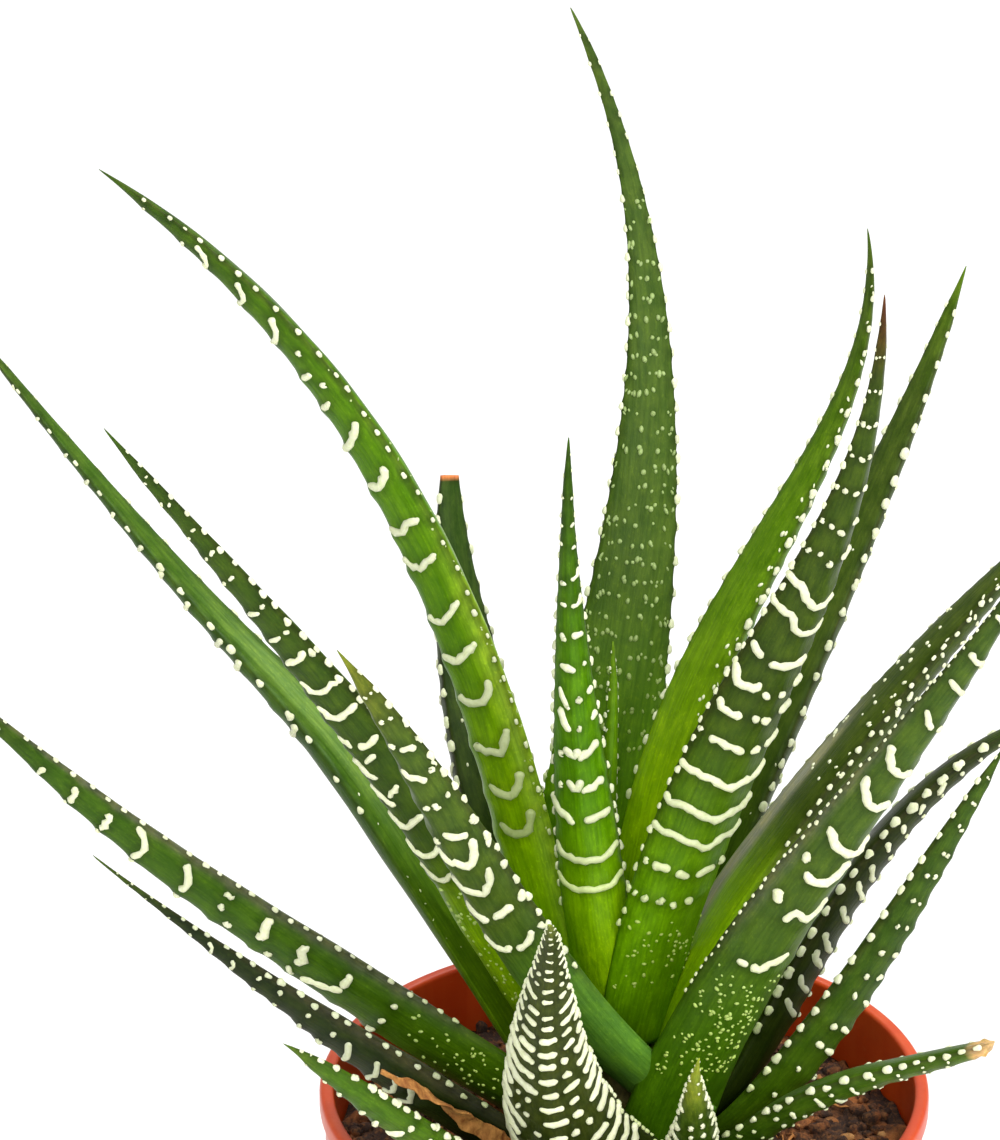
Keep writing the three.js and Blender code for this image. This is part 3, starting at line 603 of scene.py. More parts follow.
def loft(rings):
    """Points and faces of a closed loft over an array of rings, with a centre point at each end."""
    count, sides = rings.shape[:2]
    points = np.concatenate([rings.reshape(-1, 3), [rings[0].mean(0), rings[-1].mean(0)]])
    faces = []
    for i in range(count - 1):
        for j in range(sides):
            a = i * sides + j
            b = i * sides + (j + 1) % sides
            faces.append([a, b, b + sides, a + sides])
    start, last = count * sides, (count - 1) * sides
    for j in range(sides):
        k = (j + 1) % sides
        faces.append([k, j, start])
        faces.append([last + j, last + k, start + 1])
    return points, faces


def tube(centre, across, up, half, around, height=1, sink=0):
    """Points and faces of a closed tube of changing half width along a line of centres."""
    rings = (
        centre[:, None, :]
        + across[:, None, :] * (half[:, None] * np.cos(around))[:, :, None]
        + up[:, None, :] * (half[:, None] * (height * np.sin(around) - sink))[:, :, None]
    )
    return loft(rings)


def scatter(points, scale):
    """Smooth noise vectors at points, seeded so that they are the same in every run."""
    noise.seed_set(NOISE_SEED)
    return np.array([noise.noise_vector(Vector(point) * scale) for point in points])


# ---- Warts ----

WART_SIDES = 8
WART_HEIGHT = 0.8  # of its half width
WART_SINK = 0.12
WART_ENDS = np.array([0.03, 0.2, 0.55])  # rings of its rounded ends, as shares of its half width
WART_STEP = 0.8  # between its other rings
LUMPS = ((0.17, 2.9), (0.1, 5.3))  # height, and radians to a millimetre
OUTER_SHARE = 1.5  # the way round the outer side, as a share of the width
INNER_SPACING = 2.6  # of the rows on the inner side
WART_SHARE = 0.9  # a band's half width, as a share of the radius in its leaf's entry
FOOT_DOT_RADIUS = 0.32


def soften(values):
    """A run of values with its corners rounded and its ends kept."""
    for _ in range(2):
        values = np.concatenate([values[:1], (values[:-2] + 2 * values[1:-1] + values[2:]) / 4, values[-1:]])
    return values


def wart(blade, along, angle, radius, rng):
    """A rounded ridge that lies on the leaf along a short path of (along, angle) points."""
    knots = np.linspace(0, 1, len(along))
    fine = np.linspace(0, 1, 4 * len(along))
    path_along = soften(np.interp(fine, knots, along))
    path_angle = soften(np.interp(fine, knots, angle))
    points = blade.surface(path_along, path_angle)
    lengths = np.concatenate([[0], np.cumsum(np.linalg.norm(np.diff(points, axis=0), axis=1))])
    total = lengths[-1]
    bend = min(radius, total / 2)
    ends = WART_ENDS * bend
    middle = np.linspace(bend, total - bend, max(1, int(round((total - 2 * bend) / WART_STEP)) + 1))
    stops = np.concatenate([ends, middle, total - ends[::-1]])
    from_end = np.minimum(stops, total - stops)
    shrink = np.sqrt(np.clip(1 - (1 - np.minimum(from_end / bend, 1)) ** 2, 0.04, 1))
    phase = rng.uniform(0, 6)
    (large, slow), (small, fast) = LUMPS
    lumps = 1 + large * np.sin(stops * slow + phase) + small * np.sin(stops * fast - phase)
    stop_along = np.interp(stops, lengths, path_along)
    stop_angle = np.interp(stops, lengths, path_angle)
    centre = blade.surface(stop_along, stop_angle)
    up = blade.normal(stop_along, stop_angle)
    across = unit(np.cross(up, unit(np.gradient(centre, axis=0))))
    return tube(centre, across, up, radius * shrink * lumps, turns(WART_SIDES, 0.5), WART_HEIGHT, WART_SINK)


def wart_colour(foot_share, tint, rng):
    """The leaf's wart colour, and greener at its foot where the warts are young and wet."""
    return blend(linear(tint), linear(WART_FOOT), foot_share) * rng.uniform(0.84, 1.05)


def read_row(text):
    """A row's warts: (from, to) in degrees, or lists of points, (degrees, millimetres towards the tip)."""
    pieces = []
    for part in text.split(", "):
        if ":" in part:
            pieces.append(tuple(float(end) for end in part.split(":")))
        else:
            points = re.findall(r"(-?\d+)([+-][\d.]+)?", part)
            pieces.append([(float(angle), float(rise or 0)) for angle, rise in points])
    return pieces


def row_pieces(look, share, per_mm, size, rng):
    """A row's warts: those that its leaf's entry gives, or a random breaking up of the row."""
    for until, text in look["rows"].items():
        if share <= until:
            return [piece for piece in read_row(text) if rng.random() < look["kept"]]
    low, high = look["path"][0][0], look["path"][-1][0]
    join = blend(*look["join"], share)
    pieces = []
    angle = low + rng.uniform(0, 1.2) * per_mm
    while angle < high - 0.4 * size * per_mm:
        joined = rng.random() < join
        length = rng.uniform(*look["piece"]) if joined else rng.uniform(0.9, 1.9) * size
        end = min(angle + length * per_mm, high)
        pieces.append((angle, end))
        angle = end + (2.3 * size if joined else rng.uniform(2.1, 4.4) * size) * per_mm
    return pieces


def wart_line(blade, look, row, piece, per_mm, rng):
    """The line of one wart, as places along the leaf and angles."""
    if isinstance(piece, tuple):
        shift = rng.gauss(0, 1.5)
        low, high = piece[0] + shift, piece[1] + shift
        count = max(4, int((high - low) / per_mm / 0.9) + 2)
        angles = np.linspace(low, high, count)
        along = row + blade.row_offset(np.full(count, row), np.radians(angles))
    else:
        places = np.linspace(0, len(piece) - 1, 3 * len(piece))
        angles, rises = (np.interp(places, np.arange(len(piece)), column) for column in zip(*piece))
        along = row + rises
    wobble = np.array([rng.gauss(0, 1) for _ in angles]) * look["waver"]
    along = np.clip(along + rng.gauss(0, look["stray"]) + wobble, 1, blade.length - 0.5)
    return along, np.radians(angles)


def outer_warts(blade, look, rng, pile):
    """Rows of joined and broken warts over the outer side."""
    first, last = blade.rows[0], blade.rows[-1]
    for row in blade.rows:
        share = (row - first) / max(last - first, 1)
        width = blade.width_at(row)
        per_mm = 180 / (OUTER_SHARE * width)  # degrees round the outer side to a millimetre
        size = WART_SHARE * look["radius"] * min(1, (width / look["full"]) ** 0.6)
        foot = look["young"] * (1 - smooth(0.1, 0.5, row / blade.length))
        for piece in row_pieces(look, share, per_mm, size, rng):
            along, angles = wart_line(blade, look, row, piece, per_mm, rng)
            radius = size * rng.uniform(0.86, 1.14)
            pile.add(*wart(blade, along, angles, radius, rng), wart_colour(foot, look["wart"], rng))


def scattered_warts(blade, rng, pile, count, sides, stretch, radius, tint=WART, lie=(0, math.pi)):
    """Single small warts, strewn over a stretch of the leaf, each lying at an angle from lie."""
    for _ in range(count):
        at = blade.length * rng.uniform(*stretch)
        angle = math.radians(rng.uniform(*sides))
        turn = rng.uniform(*lie)
        size = radius * rng.uniform(0.6, 1.2)
        per_mm = math.pi / (OUTER_SHARE * blade.width_at(at))
        reach = size * np.array([-0.7, 0, 0.7])
        along = np.clip(at + reach * math.cos(turn), 0.5, blade.length - 0.3)
        foot = 0.8 * (1 - smooth(0.1, 0.45, at / blade.length))
        shape = wart(blade, along, angle + reach * math.sin(turn) * per_mm, size, rng)
        pile.add(*shape, wart_colour(foot, tint, rng))


def inner_warts(blade, look, rng, pile):
    """Loose rows of small dashes over the inner side, most of them lying across it."""
    start, end, per_row, radius = look["inner"]
    spread = 0.2 * INNER_SPACING / blade.length
    lie = (0.36 * math.pi, 0.64 * math.pi)
    for i in range(int((end - start) * blade.length / INNER_SPACING)):
        share = start + (i + 0.5) * INNER_SPACING / blade.length
        thinning = 1 - 0.75 * smooth(start, end, share)
        count = int(per_row * thinning + rng.random())
        stretch = (share - spread, share + spread)
        scattered_warts(blade, rng, pile, count, look["inner_side"], stretch, radius, look["inner_wart"], lie)


def margin_teeth(blade, look, rng, pile):
    """One small pale tooth on each swelling of the margins."""
    for teeth, angle in zip(blade.teeth, (0, math.pi)):
        for tooth in teeth:
            size = look["tooth"] * min(1, (blade.width_at(tooth) / 5) ** 0.5) * rng.uniform(0.8, 1.15)
            along = np.clip(tooth + size * np.array([-1.5, 0, 1.5]), 0.5, blade.length - 0.3)
            foot = 0.6 * (1 - smooth(0.1, 0.4, tooth / blade.length))
            shape = wart(blade, along, np.full(3, angle) + rng.uniform(-0.12, 0.12), size, rng)
            pile.add(*shape, wart_colour(foot, look["wart"], rng))


# ---- Leaf meshes ----

TIP_FADE = {"cut": (0.5, 1), "dry": (0.925, 0.955)}
CRUMPLED = (0.92, 0.97)
CUT_EDGE = 0.985
CUT_FACE = 0.992


def leaf_colours(blade, look, along, angle):
    """The leaf's colours at every point, painted sheen among them, with the share of pale bloom as the fourth
    number.
    """
    share = along / blade.length
    foot, body, tip = (linear(look[key]) for key in ("foot", "body", "tip"))
    is_cut = look["end"] == "cut"
    tip_share = smooth(*TIP_FADE.get(look["end"], (look["tip_start"], 1)), share)
    if is_cut:
        tip_share = tip_share * (share < CUT_EDGE)
    inner = smooth(0.1, 0.5, -np.sin(angle))
    rim = smooth(0.975, 0.999, np.abs(np.cos(angle))) * smooth(0.15, 0.4, share) * 0.5
    layers = [(body, smooth(*look["foot_end"], share)), (tip, tip_share)]
    # the inner side's tint: partly its own colour, partly painted sheen
    if look["inside"]:
        layers.append((linear(look["inside"]), look["inside_mix"] * inner * smooth(0.05, 0.4, share)))
    # painted sheen: a pale highlight band laid into the colour
    if look["sheen"]:
        low, high, start, end, most = look["sheen"]
        turn = np.degrees(angle)
        turn = np.where(turn > 300 + low, turn - 360, turn)
        amount = most * window(low, high, turn, (12, 12))
        amount = amount * smooth(start - 0.08, start + 0.1, share)
        amount = amount * (1 - smooth(end - 0.1, end + 0.08, share))
        layers.append((linear(look["painted_sheen_tint"]), amount))
    layers.append((linear(look["rim"]), rim))
    colour = foot
    for tint, amount in layers:
        colour = blend(colour, tint, amount[:, None])
    if is_cut:
        colour = np.where((share > CUT_FACE)[:, None], linear(CUT_TINT), colour)
    bloom = (0.3 + 0.3 * inner) * smooth(0.2, 0.6, share)
    return np.concatenate([colour, bloom[:, None]], axis=1)


def painted_wart_shadow(warts, points):
    """Painted shadow round the warts: how dark the leaf is there, from 1 far from them."""
    tree = kdtree.KDTree(len(warts))
    for i, point in enumerate(warts):
        tree.insert(point, i)
    tree.balance()
    away = np.array([tree.find(point)[2] for point in points])
    return 1 - PAINTED_SHADOW * np.exp(-((away / PAINTED_SHADOW_REACH) ** 2))


def make_leaf(name, look, seed):
    look = {**PLAIN_LEAF, **look}
    rng = random.Random(seed)
    blade = Blade(look["stations"], look["faces"], look["end"])
    blade.lay_out(look, rng)
    pile = Pile()
    outer_warts(blade, look, rng, pile)
    margin_teeth(blade, look, rng, pile)
    with_painted_shadow = len(pile.points)  # the finer dots that follow get no painted shadow round them
    stretch = (look["start"] * 0.45, look["start"] * 1.02)
    scattered_warts(
        blade, rng, pile, look["foot_dots"], look["foot_side"], stretch, FOOT_DOT_RADIUS, FOOT_DOT
    )
    if look["inner"]:
        inner_warts(blade, look, rng, pile)

    rings = int(blade.length / RING_STEP)
    along = np.repeat(np.linspace(0, 1, rings) ** RING_POWER * blade.length, SIDES)
    angle = np.tile(np.linspace(0, 2 * math.pi, SIDES, endpoint=False), rings)
    points = blade.surface(along, angle)
    if look["end"] == "dry":
        points += scatter(points, 0.9) * smooth(*CRUMPLED, along / blade.length)[:, None] * CRUMPLE
    mesh_points, faces = loft(points.reshape(rings, SIDES, 3))
    centre, keelward, sideward = blade.axes(along)
    local = points - centre
    grain = np.stack([(local * sideward).sum(1), (local * keelward).sum(1), along], axis=1)
    grain = np.concatenate([grain, [[0, 0, 0], [0, 0, blade.length]]])
    colours = leaf_colours(blade, look, along, angle)
    # painted shadow: the leaf darkened beside its bolder warts
    colours[:, :3] *= painted_wart_shadow(np.concatenate(pile.points[:with_painted_shadow]), points)[:, None]
    colours = np.concatenate([colours, colours[:1], colours[-1:]])
    if look["end"] == "cut":
        colours[-1, :3] = linear(CUT_TINT)
    slot = look["slot"]
    attach(make_piece(name + "_blade", mesh_points, faces, slot, colours, grain), slot, name)
    attach(pile.build(name + "_warts", "tubercle"), "tubercle")


# ---- Materials ----


def feed(tree, made, **inputs):
    """Sets a node's inputs by name, each from a socket or to a value."""
    for key, value in inputs.items():
        socket = made.inputs[key.replace("_", " ")]
        if isinstance(value, bpy.types.NodeSocket):
            tree.links.new(value, socket)
        else:
            socket.default_value = value


def new_material(name):
    material = bpy.data.materials.new(name)
    material.use_nodes = True
    tree = material.node_tree
    return material, tree, tree.nodes["Principled BSDF"]


def paint(*colour):
    """An sRGB colour as a linear tuple."""
    return tuple(linear(colour))


def mix_colour(tree, factor, a, b, blend_type="MIX"):
    """The output of a colour mix. Each of factor, a and b is a socket or a value."""
    made = tree.nodes.new("ShaderNodeMix")
    made.data_type = "RGBA"
    made.blend_type = blend_type
    for socket, value in ((made.inputs[0], factor), (made.inputs[6], a), (made.inputs[7], b)):
        if isinstance(value, bpy.types.NodeSocket):
            tree.links.new(value, socket)
        elif isinstance(value, (int, float)):
            socket.default_value = value
        else:
            socket.default_value = (*value, 1.0)
    return made.outputs[2]


def scaled(tree, colour, red, green, blue):
    """A colour socket times three linear factors."""
    return mix_colour(tree, 1.0, colour, (red, green, blue), "MULTIPLY")


def remap(tree, socket, low, high, new_low, new_high):
    """A socket's range low..high carried to new_low..new_high, clamped."""
    made = tree.nodes.new("ShaderNodeMapRange")
    tree.links.new(socket, made.inputs[0])
    for index, value in enumerate((low, high, new_low, new_high), start=1):
        made.inputs[index].default_value = value
    return made.outputs[0]


def times(tree, a, b):
    """The product of two sockets."""
    made = tree.nodes.new("ShaderNodeMath")
    made.operation = "MULTIPLY"
    tree.links.new(a, made.inputs[0])
    tree.links.new(b, made.inputs[1])
    return made.outputs[0]


def attribute(tree, name):
    made = tree.nodes.new("ShaderNodeAttribute")
    made.attribute_name = name
    return made


def object_place(tree):
    return tree.nodes.new("ShaderNodeTexCoord").outputs["Object"]


def noise_of(tree, vector, scale, stretch=(1, 1, 1), detail=4.0, roughness=0.55):
    """A noise texture over a vector socket that is first stretched."""
    mapping = tree.nodes.new("ShaderNodeMapping")
    feed(tree, mapping, Scale=stretch, Vector=vector)
    made = tree.nodes.new("ShaderNodeTexNoise")
    feed(tree, made, Scale=scale, Detail=detail, Roughness=roughness, Vector=mapping.outputs[0])
    return made.outputs["Fac"]


def add_bump(tree, shader, heights, distance):
    """Chains bumps, each a (height socket, strength) pair."""
    normal = None
    for height, strength in heights:
        bump = tree.nodes.new("ShaderNodeBump")
        feed(tree, bump, Strength=strength, Distance=distance, Height=height)
        if normal is not None:
            feed(tree, bump, Normal=normal)
        normal = bump.outputs[0]
    feed(tree, shader, Normal=normal)


def add_glow(tree, shader, weight, radius, scale):
    """Light that enters the surface and leaves it nearby, with its reach in metres."""
    feed(tree, shader, Subsurface_Weight=weight, Subsurface_Radius=radius, Subsurface_Scale=scale)


def leaf_material(name, roughness):
    """Waxy leaf flesh: its painted colour, which carries painted sheen and painted shadow round the warts,
    fine streaks along it, mottling and a pale bloom.
    """
    material, tree, shader = new_material(name)
    tint = attribute(tree, "tint")
    grain = attribute(tree, "grain").outputs["Vector"]
    streaks = noise_of(tree, grain, 1.0, (2.6, 2.6, 0.12), 3)
    mottle = noise_of(tree, grain, 0.55, (1, 1, 0.5), 5, 0.6)
    cells = noise_of(tree, grain, 3.2, (1, 1, 0.55), 3)
    colour = tint.outputs["Color"]
    dark = scaled(tree, colour, 0.55, 0.62, 0.4)
    colour = mix_colour(tree, remap(tree, streaks, 0.4, 0.62, 0.0, 0.6), colour, dark)
    light = scaled(tree, colour, 1.5, 1.36, 1.0)
    colour = mix_colour(tree, remap(tree, mottle, 0.42, 0.66, 0.0, 0.9), colour, light)
    specks = remap(tree, cells, 0.56, 0.68, 0.0, 0.5)
    colour = mix_colour(tree, specks, colour, scaled(tree, colour, 1.7, 1.5, 1.2))
    bloom = times(tree, tint.outputs["Alpha"], remap(tree, mottle, 0.4, 0.66, 0.0, 0.12))
    colour = mix_colour(tree, bloom, colour, paint(128, 144, 76))
    sheen = remap(tree, mottle, 0.35, 0.7, roughness - 0.07, roughness + 0.1)
    feed(tree, shader, Base_Color=colour, Roughness=sheen, Specular_IOR_Level=0.12)
    add_glow(tree, shader, 0.12, (0.7, 1.0, 0.1), 0.0016)
    add_bump(tree, shader, [(streaks, 0.22), (cells, 0.1)], 0.0004)
    return material


def wart_material():
    """Cream warts: chalky, a little translucent, each with its own tint."""
    material, tree, shader = new_material("tubercle")
    tint = attribute(tree, "tint").outputs["Color"]
    mottle = noise_of(tree, object_place(tree), 1800, detail=3)
    shade = scaled(tree, tint, 0.86, 0.88, 0.7)
    colour = mix_colour(tree, remap(tree, mottle, 0.4, 0.65, 0, 0.7), tint, shade)
    feed(tree, shader, Base_Color=colour, Roughness=remap(tree, mottle, 0.3, 0.7, 0.38, 0.56))
    add_glow(tree, shader, 0.1, (0.8, 1.0, 0.5), 0.0006)
    add_bump(tree, shader, [(mottle, 0.25)], 0.0002)
    return material


def pot_material():
    """Moulded orange-red plastic, with faint vertical flow lines, dust and small scuffs."""
    material, tree, shader = new_material("pot")
    place = object_place(tree)
    cloud = noise_of(tree, place, 30, detail=4)
    flow = noise_of(tree, place, 260, (1, 1, 0.06), 3)
    fine = noise_of(tree, place, 1400, detail=3)
    scuffs = noise_of(tree, place, 420, (0.5, 0.5, 4), 5, 0.7)
    colour = mix_colour(tree, remap(tree, cloud, 0.35, 0.65, 0, 1), paint(210, 74, 10), paint(194, 58, 4))
    colour = mix_colour(tree, remap(tree, flow, 0.45, 0.65, 0, 0.22), colour, paint(228, 104, 44))
    colour = mix_colour(tree, remap(tree, scuffs, 0.66, 0.76, 0, 0.3), colour, paint(232, 160, 116))
    feed(tree, shader, Base_Color=colour, Roughness=remap(tree, cloud, 0.35, 0.65, 0.3, 0.44))
    add_glow(tree, shader, 0.12, (1.0, 0.25, 0.1), 0.0015)
    add_bump(tree, shader, [(flow, 0.06), (fine, 0.07)], 0.0003)
    return material


def soil_material(name, dark, light, low, high):
    """Peaty crumbs: two tones in clumps, with a rough fine grain."""
    material, tree, shader = new_material(name)
    place = object_place(tree)
    clumps = noise_of(tree, place, 190, detail=6, roughness=0.65)
    fine = noise_of(tree, place, 1100, detail=5, roughness=0.7)
    colour = mix_colour(tree, remap(tree, clumps, low, high, 0, 1), paint(*dark), paint(*light))
    colour = mix_colour(tree, remap(tree, fine, 0.5, 0.72, 0, 0.5), colour, paint(176, 120, 70))
    colour = mix_colour(tree, remap(tree, fine, 0.3, 0.46, 0.6, 0), colour, paint(26, 13, 6))
    feed(tree, shader, Base_Color=colour, Roughness=remap(tree, fine, 0.3, 0.7, 0.8, 1.0))
    add_bump(tree, shader, [(clumps, 0.6), (fine, 0.8)], 0.0009)
    return material


def fibre_material(name, dark, light):
    """Dry plant fibre, streaked along the piece's length."""
    material, tree, shader = new_material(name)
    streaks = noise_of(tree, object_place(tree), 700, (1, 1, 0.35), 5, 0.65)
    colour = mix_colour(tree, remap(tree, streaks, 0.35, 0.66, 0, 1), paint(*dark), paint(*light))
    feed(tree, shader, Base_Color=colour, Roughness=remap(tree, streaks, 0.3, 0.7, 0.65, 0.9))
    add_bump(tree, shader, [(streaks, 0.7)], 0.0005)
    return material


def floor_material():
    material, tree, shader = new_material("floor")
    grain = noise_of(tree, object_place(tree), 60, detail=3)
    colour = mix_colour(tree, grain, (0.9, 0.9, 0.9), (0.93, 0.93, 0.93))
    feed(tree, shader, Base_Color=colour, Roughness=0.85, Specular_IOR_Level=0.1)
    return material


MATERIALS = {
    "leaf_bright": leaf_material("leaf_bright", 0.36),
    "leaf_green": leaf_material("leaf_green", 0.4),
    "leaf_dark": leaf_material("leaf_dark", 0.43),
    "tubercle": wart_material(),
    "pot": pot_material(),
    "soil": soil_material("soil", (52, 28, 12), (170, 102, 48), 0.47, 0.64),
    "grit": soil_material("grit", (158, 98, 48), (214, 160, 98), 0.4, 0.6),
    "stem": fibre_material("stem", (84, 76, 34), (132, 124, 58)),
    "dry": fibre_material("dry", (138, 74, 24), (226, 160, 84)),
    "floor": floor_material(),
}

# ---- Pot ----

POT_PROFILE = [
    # radius, height and corner rounding, up the outside and down the inside
    (0, 0, 0),
    (30, 0, 0.8),
    (40.1, 61, 0.4),
    (41.7, 61.5, 0.6),
    (41.7, 71.6, 0.4),
    (42.5, 72.1, 0.4),
    (42.5, 75, 0.9),
    (40.5, 75, 0.7),
    (40.4, 71.6, 0.5),
    (40.4, 62.3, 0.6),
    (38.8, 61, 0.6),
    (28.7, 2.2, 0.9),
    (0, 2.2, 0),
]
POT_SEGMENTS = 176
CORNER_STEPS = 5
DRAIN = dict(count=6, radius=2.6, ring=19, low=-3, high=6, segments=40)
SHARP_EDGE = 50


def rounded(profile):
    """A profile whose corners are arcs."""
    result = []
    for i, (radius, height, fillet) in enumerate(profile):
        corner = np.array([radius, height], float)
        if fillet == 0:
            result.append(corner)
            continue
        before = np.array(profile[i - 1][:2], float) - corner
        after = np.array(profile[i + 1][:2], float) - corner
        reach = min(fillet, np.linalg.norm(before) * 0.45, np.linalg.norm(after) * 0.45)
        start = corner + before / np.linalg.norm(before) * reach
        end = corner + after / np.linalg.norm(after) * reach
        for u in np.linspace(0, 1, CORNER_STEPS):
            result.append((1 - u) ** 2 * start + 2 * u * (1 - u) * corner + u**2 * end)
    return result


def turned(profile, segments):
    """Points and faces of a solid of revolution whose profile starts and ends on the axis."""
    around = turns(segments)

    def circle(radius, height):
        return np.stack([radius * np.cos(around), radius * np.sin(around), np.full(segments, height)], axis=1)

    points, faces = loft(np.array([circle(*place) for place in profile[1:-1]]))
    points[-2] = (0, 0, profile[0][1])
    points[-1] = (0, 0, profile[-1][1])
    return points, faces


def cut(piece, cutter):
    """Cuts one piece's form out of another and keeps the result as its mesh."""
    modifier = piece.modifiers.new("cut", "BOOLEAN")
    modifier.operation = "DIFFERENCE"
    modifier.solver = "EXACT"
    modifier.object = cutter
    bpy.context.view_layer.update()
    result = bpy.data.meshes.new_from_object(piece.evaluated_get(bpy.context.evaluated_depsgraph_get()))
    piece.modifiers.clear()
    piece.data = result
    bpy.data.objects.remove(cutter)


def make_pot():
    pot = make_piece("pot_shell", *turned(rounded(POT_PROFILE), POT_SEGMENTS), "pot")
    radius, low, high = (float(DRAIN[key]) for key in ("radius", "low", "high"))
    drill, faces = turned([(0.0, low), (radius, low), (radius, high), (0.0, high)], DRAIN["segments"])
    drills = Pile()
    for angle in turns(DRAIN["count"]):
        drills.add(drill + on_circle(DRAIN["ring"], angle, 0), faces)
    cut(pot, drills.build("drills", "pot"))
    pot.data.set_sharp_from_angle(angle=math.radians(SHARP_EDGE))
    attach(pot, "pot", "pot")


# ---- Soil ----

SOIL = dict(level=65, hollow=3, hollow_radius=24, lump=0.9, outer=40.1, hole=5.3, bottom=2.5, foot=28.45)
SOIL_WAIST = (38.5, 61)
SOIL_CORE = 58
SOIL_WAVES = ((0.42, 0.37, 1), (0.53, 0.71, 2.4))
SOIL_SEGMENTS = 200
SOIL_RINGS = 60
RELIEF = dict(height=0.95, scale=0.55, layer=3.7)
CRUMBS = {
    # slot, count, smallest and largest, seed
    "soil_crumbs": ("soil", 1100, (0.28, 1.5), 5),
    "soil_grit": ("grit", 260, (0.22, 1.0), 6),
}
FIBRES = dict(count=46, seed=31, ring=(10, 37), points=(6, 13), step=0.9, reach=38.5, radius=(0.12, 0.26))


def soil_level(x, y):
    """The soil's height in the CAD, with crumbly relief added."""
    hollow = max(0, 1 - math.hypot(x, y) / SOIL["hollow_radius"])
    waves = [math.sin(a * x + phase) * math.cos(b * y) for a, b, phase in SOIL_WAVES]
    base = SOIL["level"] - SOIL["hollow"] * hollow + SOIL["lump"] * sum(waves) / len(waves)
    scale = RELIEF["scale"]
    crumbs = noise.fractal(Vector((x * scale, y * scale, RELIEF["layer"])), 0.6, 2.2, 6)
    return base + RELIEF["height"] * crumbs


def make_soil():
    around = turns(SOIL_SEGMENTS)
    circles = [
        [on_circle(SOIL["foot"], a, SOIL["bottom"]) for a in around],
        [on_circle(SOIL_WAIST[0], a, SOIL_WAIST[1]) for a in around],
    ]
    for radius in np.linspace(SOIL["outer"], SOIL["hole"], SOIL_RINGS):
        places = [on_circle(radius, a, 0)[:2] for a in around]
        circles.append([(x, y, soil_level(x, y)) for x, y in places])
    points, faces = loft(np.array(circles))
    points[-1] = (0, 0, SOIL_CORE)
    attach(make_piece("soil_bed", points, faces, "soil"), "soil", "soil")


def lump_form():
    """Points and faces of a ball of triangles."""
    ball = bmesh.new()
    bmesh.ops.create_icosphere(ball, subdivisions=2, radius=1)
    points = np.array([vertex.co[:] for vertex in ball.verts])
    faces = [[vertex.index for vertex in face.verts] for face in ball.faces]
    ball.free()
    return points, faces


def make_crumbs(name, slot, count, sizes, seed):
    """Loose crumbs strewn over the soil, each one a dented lump."""
    rng = random.Random(seed)
    points, faces = lump_form()
    pile = Pile()
    for _ in range(count):
        radius = SOIL["outer"] * math.sqrt(rng.uniform(0.03, 0.93))
        x, y, _ = on_circle(radius, rng.uniform(0, 2 * math.pi), 0)
        size = blend(*sizes, rng.random() ** 2)
        offset = Vector((rng.uniform(0, 90), rng.uniform(0, 90), 0))
        dents = np.array([1 + 0.5 * noise.noise(Vector(point) * 1.3 + offset) for point in points])
        stretch = np.array([rng.uniform(0.7, 1.3), rng.uniform(0.7, 1.3), rng.uniform(0.5, 0.9)])
        lump = points * dents[:, None] * stretch * size
        place = np.array([x, y, soil_level(x, y) + 0.25 * size])
        largest = SOIL["outer"] - 1.6 * size  # so that the crumb stays off the pot's wall
        if math.hypot(x, y) > largest:
            place[:2] *= largest / math.hypot(x, y)
        pile.add(lump + place, faces)
    attach(pile.build(name, slot), slot)


def thread(points, radius):
    """A closed thin tube along a line of points, tapered at both ends."""
    points = np.asarray(points, float)
    ahead = unit(np.gradient(points, axis=0))
    side = unit(np.cross(ahead, np.array([0.2, 0.3, 1.0])))
    share = np.linspace(0, 1, len(points))
    half = radius * np.sqrt(np.clip(4 * share * (1 - share), 0.05, 1))
    return tube(points, side, np.cross(ahead, side), half, turns(6))


def make_fibres():
    """Fine brown roots and fibres lying on the soil."""
    rng = random.Random(FIBRES["seed"])
    pile = Pile()
    for _ in range(FIBRES["count"]):
        x, y, _ = on_circle(rng.uniform(*FIBRES["ring"]), rng.uniform(0, 2 * math.pi), 0)
        heading = rng.uniform(0, 2 * math.pi)
        line = []
        for _ in range(rng.randint(*FIBRES["points"])):
            if math.hypot(x, y) > FIBRES["reach"]:
                break
            line.append((x, y, soil_level(x, y) + 0.3 + rng.uniform(0, 0.5)))
            heading += rng.uniform(-0.5, 0.5)
            x += FIBRES["step"] * math.cos(heading)
            y += FIBRES["step"] * math.sin(heading)
        if len(line) > 3:
            pile.add(*thread(line, rng.uniform(*FIBRES["radius"])))
    attach(pile.build("soil_fibres", "dry"), "dry")


# ---- Stem and dry leaf ----

STEM = dict(foot=58, top=90, tip=90.8, wide=4.75, slim=3.75, ring=0.22, rings=60, sides=40)
DRY_LEAF = [[-11, -16, 71, 4], [-18.5, -21.5, 79, 4.2], [-26, -25.5, 86.5, 3.2], [-33, -28.5, 92.5, 1.2]]
DRY_FACES = 235
SCRAP = dict(rings=60, sides=28, width=2.2, curl=1.1, crumple=0.55, fibres=9, fibre_steps=10, seed=12)


def make_stem():
    """A short stem ringed by the scars of old leaves."""
    profile = [(0, float(STEM["foot"]))]
    for height in np.linspace(STEM["foot"], STEM["top"], STEM["rings"]):
        base = blend(STEM["wide"], STEM["slim"], smooth(68, 83, height))
        crown = 1 - smooth(86, 91, height) * 0.55
        profile.append((base * crown + STEM["ring"] * abs(math.sin(height * 1.5)), height))
    profile.append((0, STEM["tip"]))
    attach(make_piece("stem_ringed", *turned(profile, STEM["sides"]), "stem"), "stem", "stem")


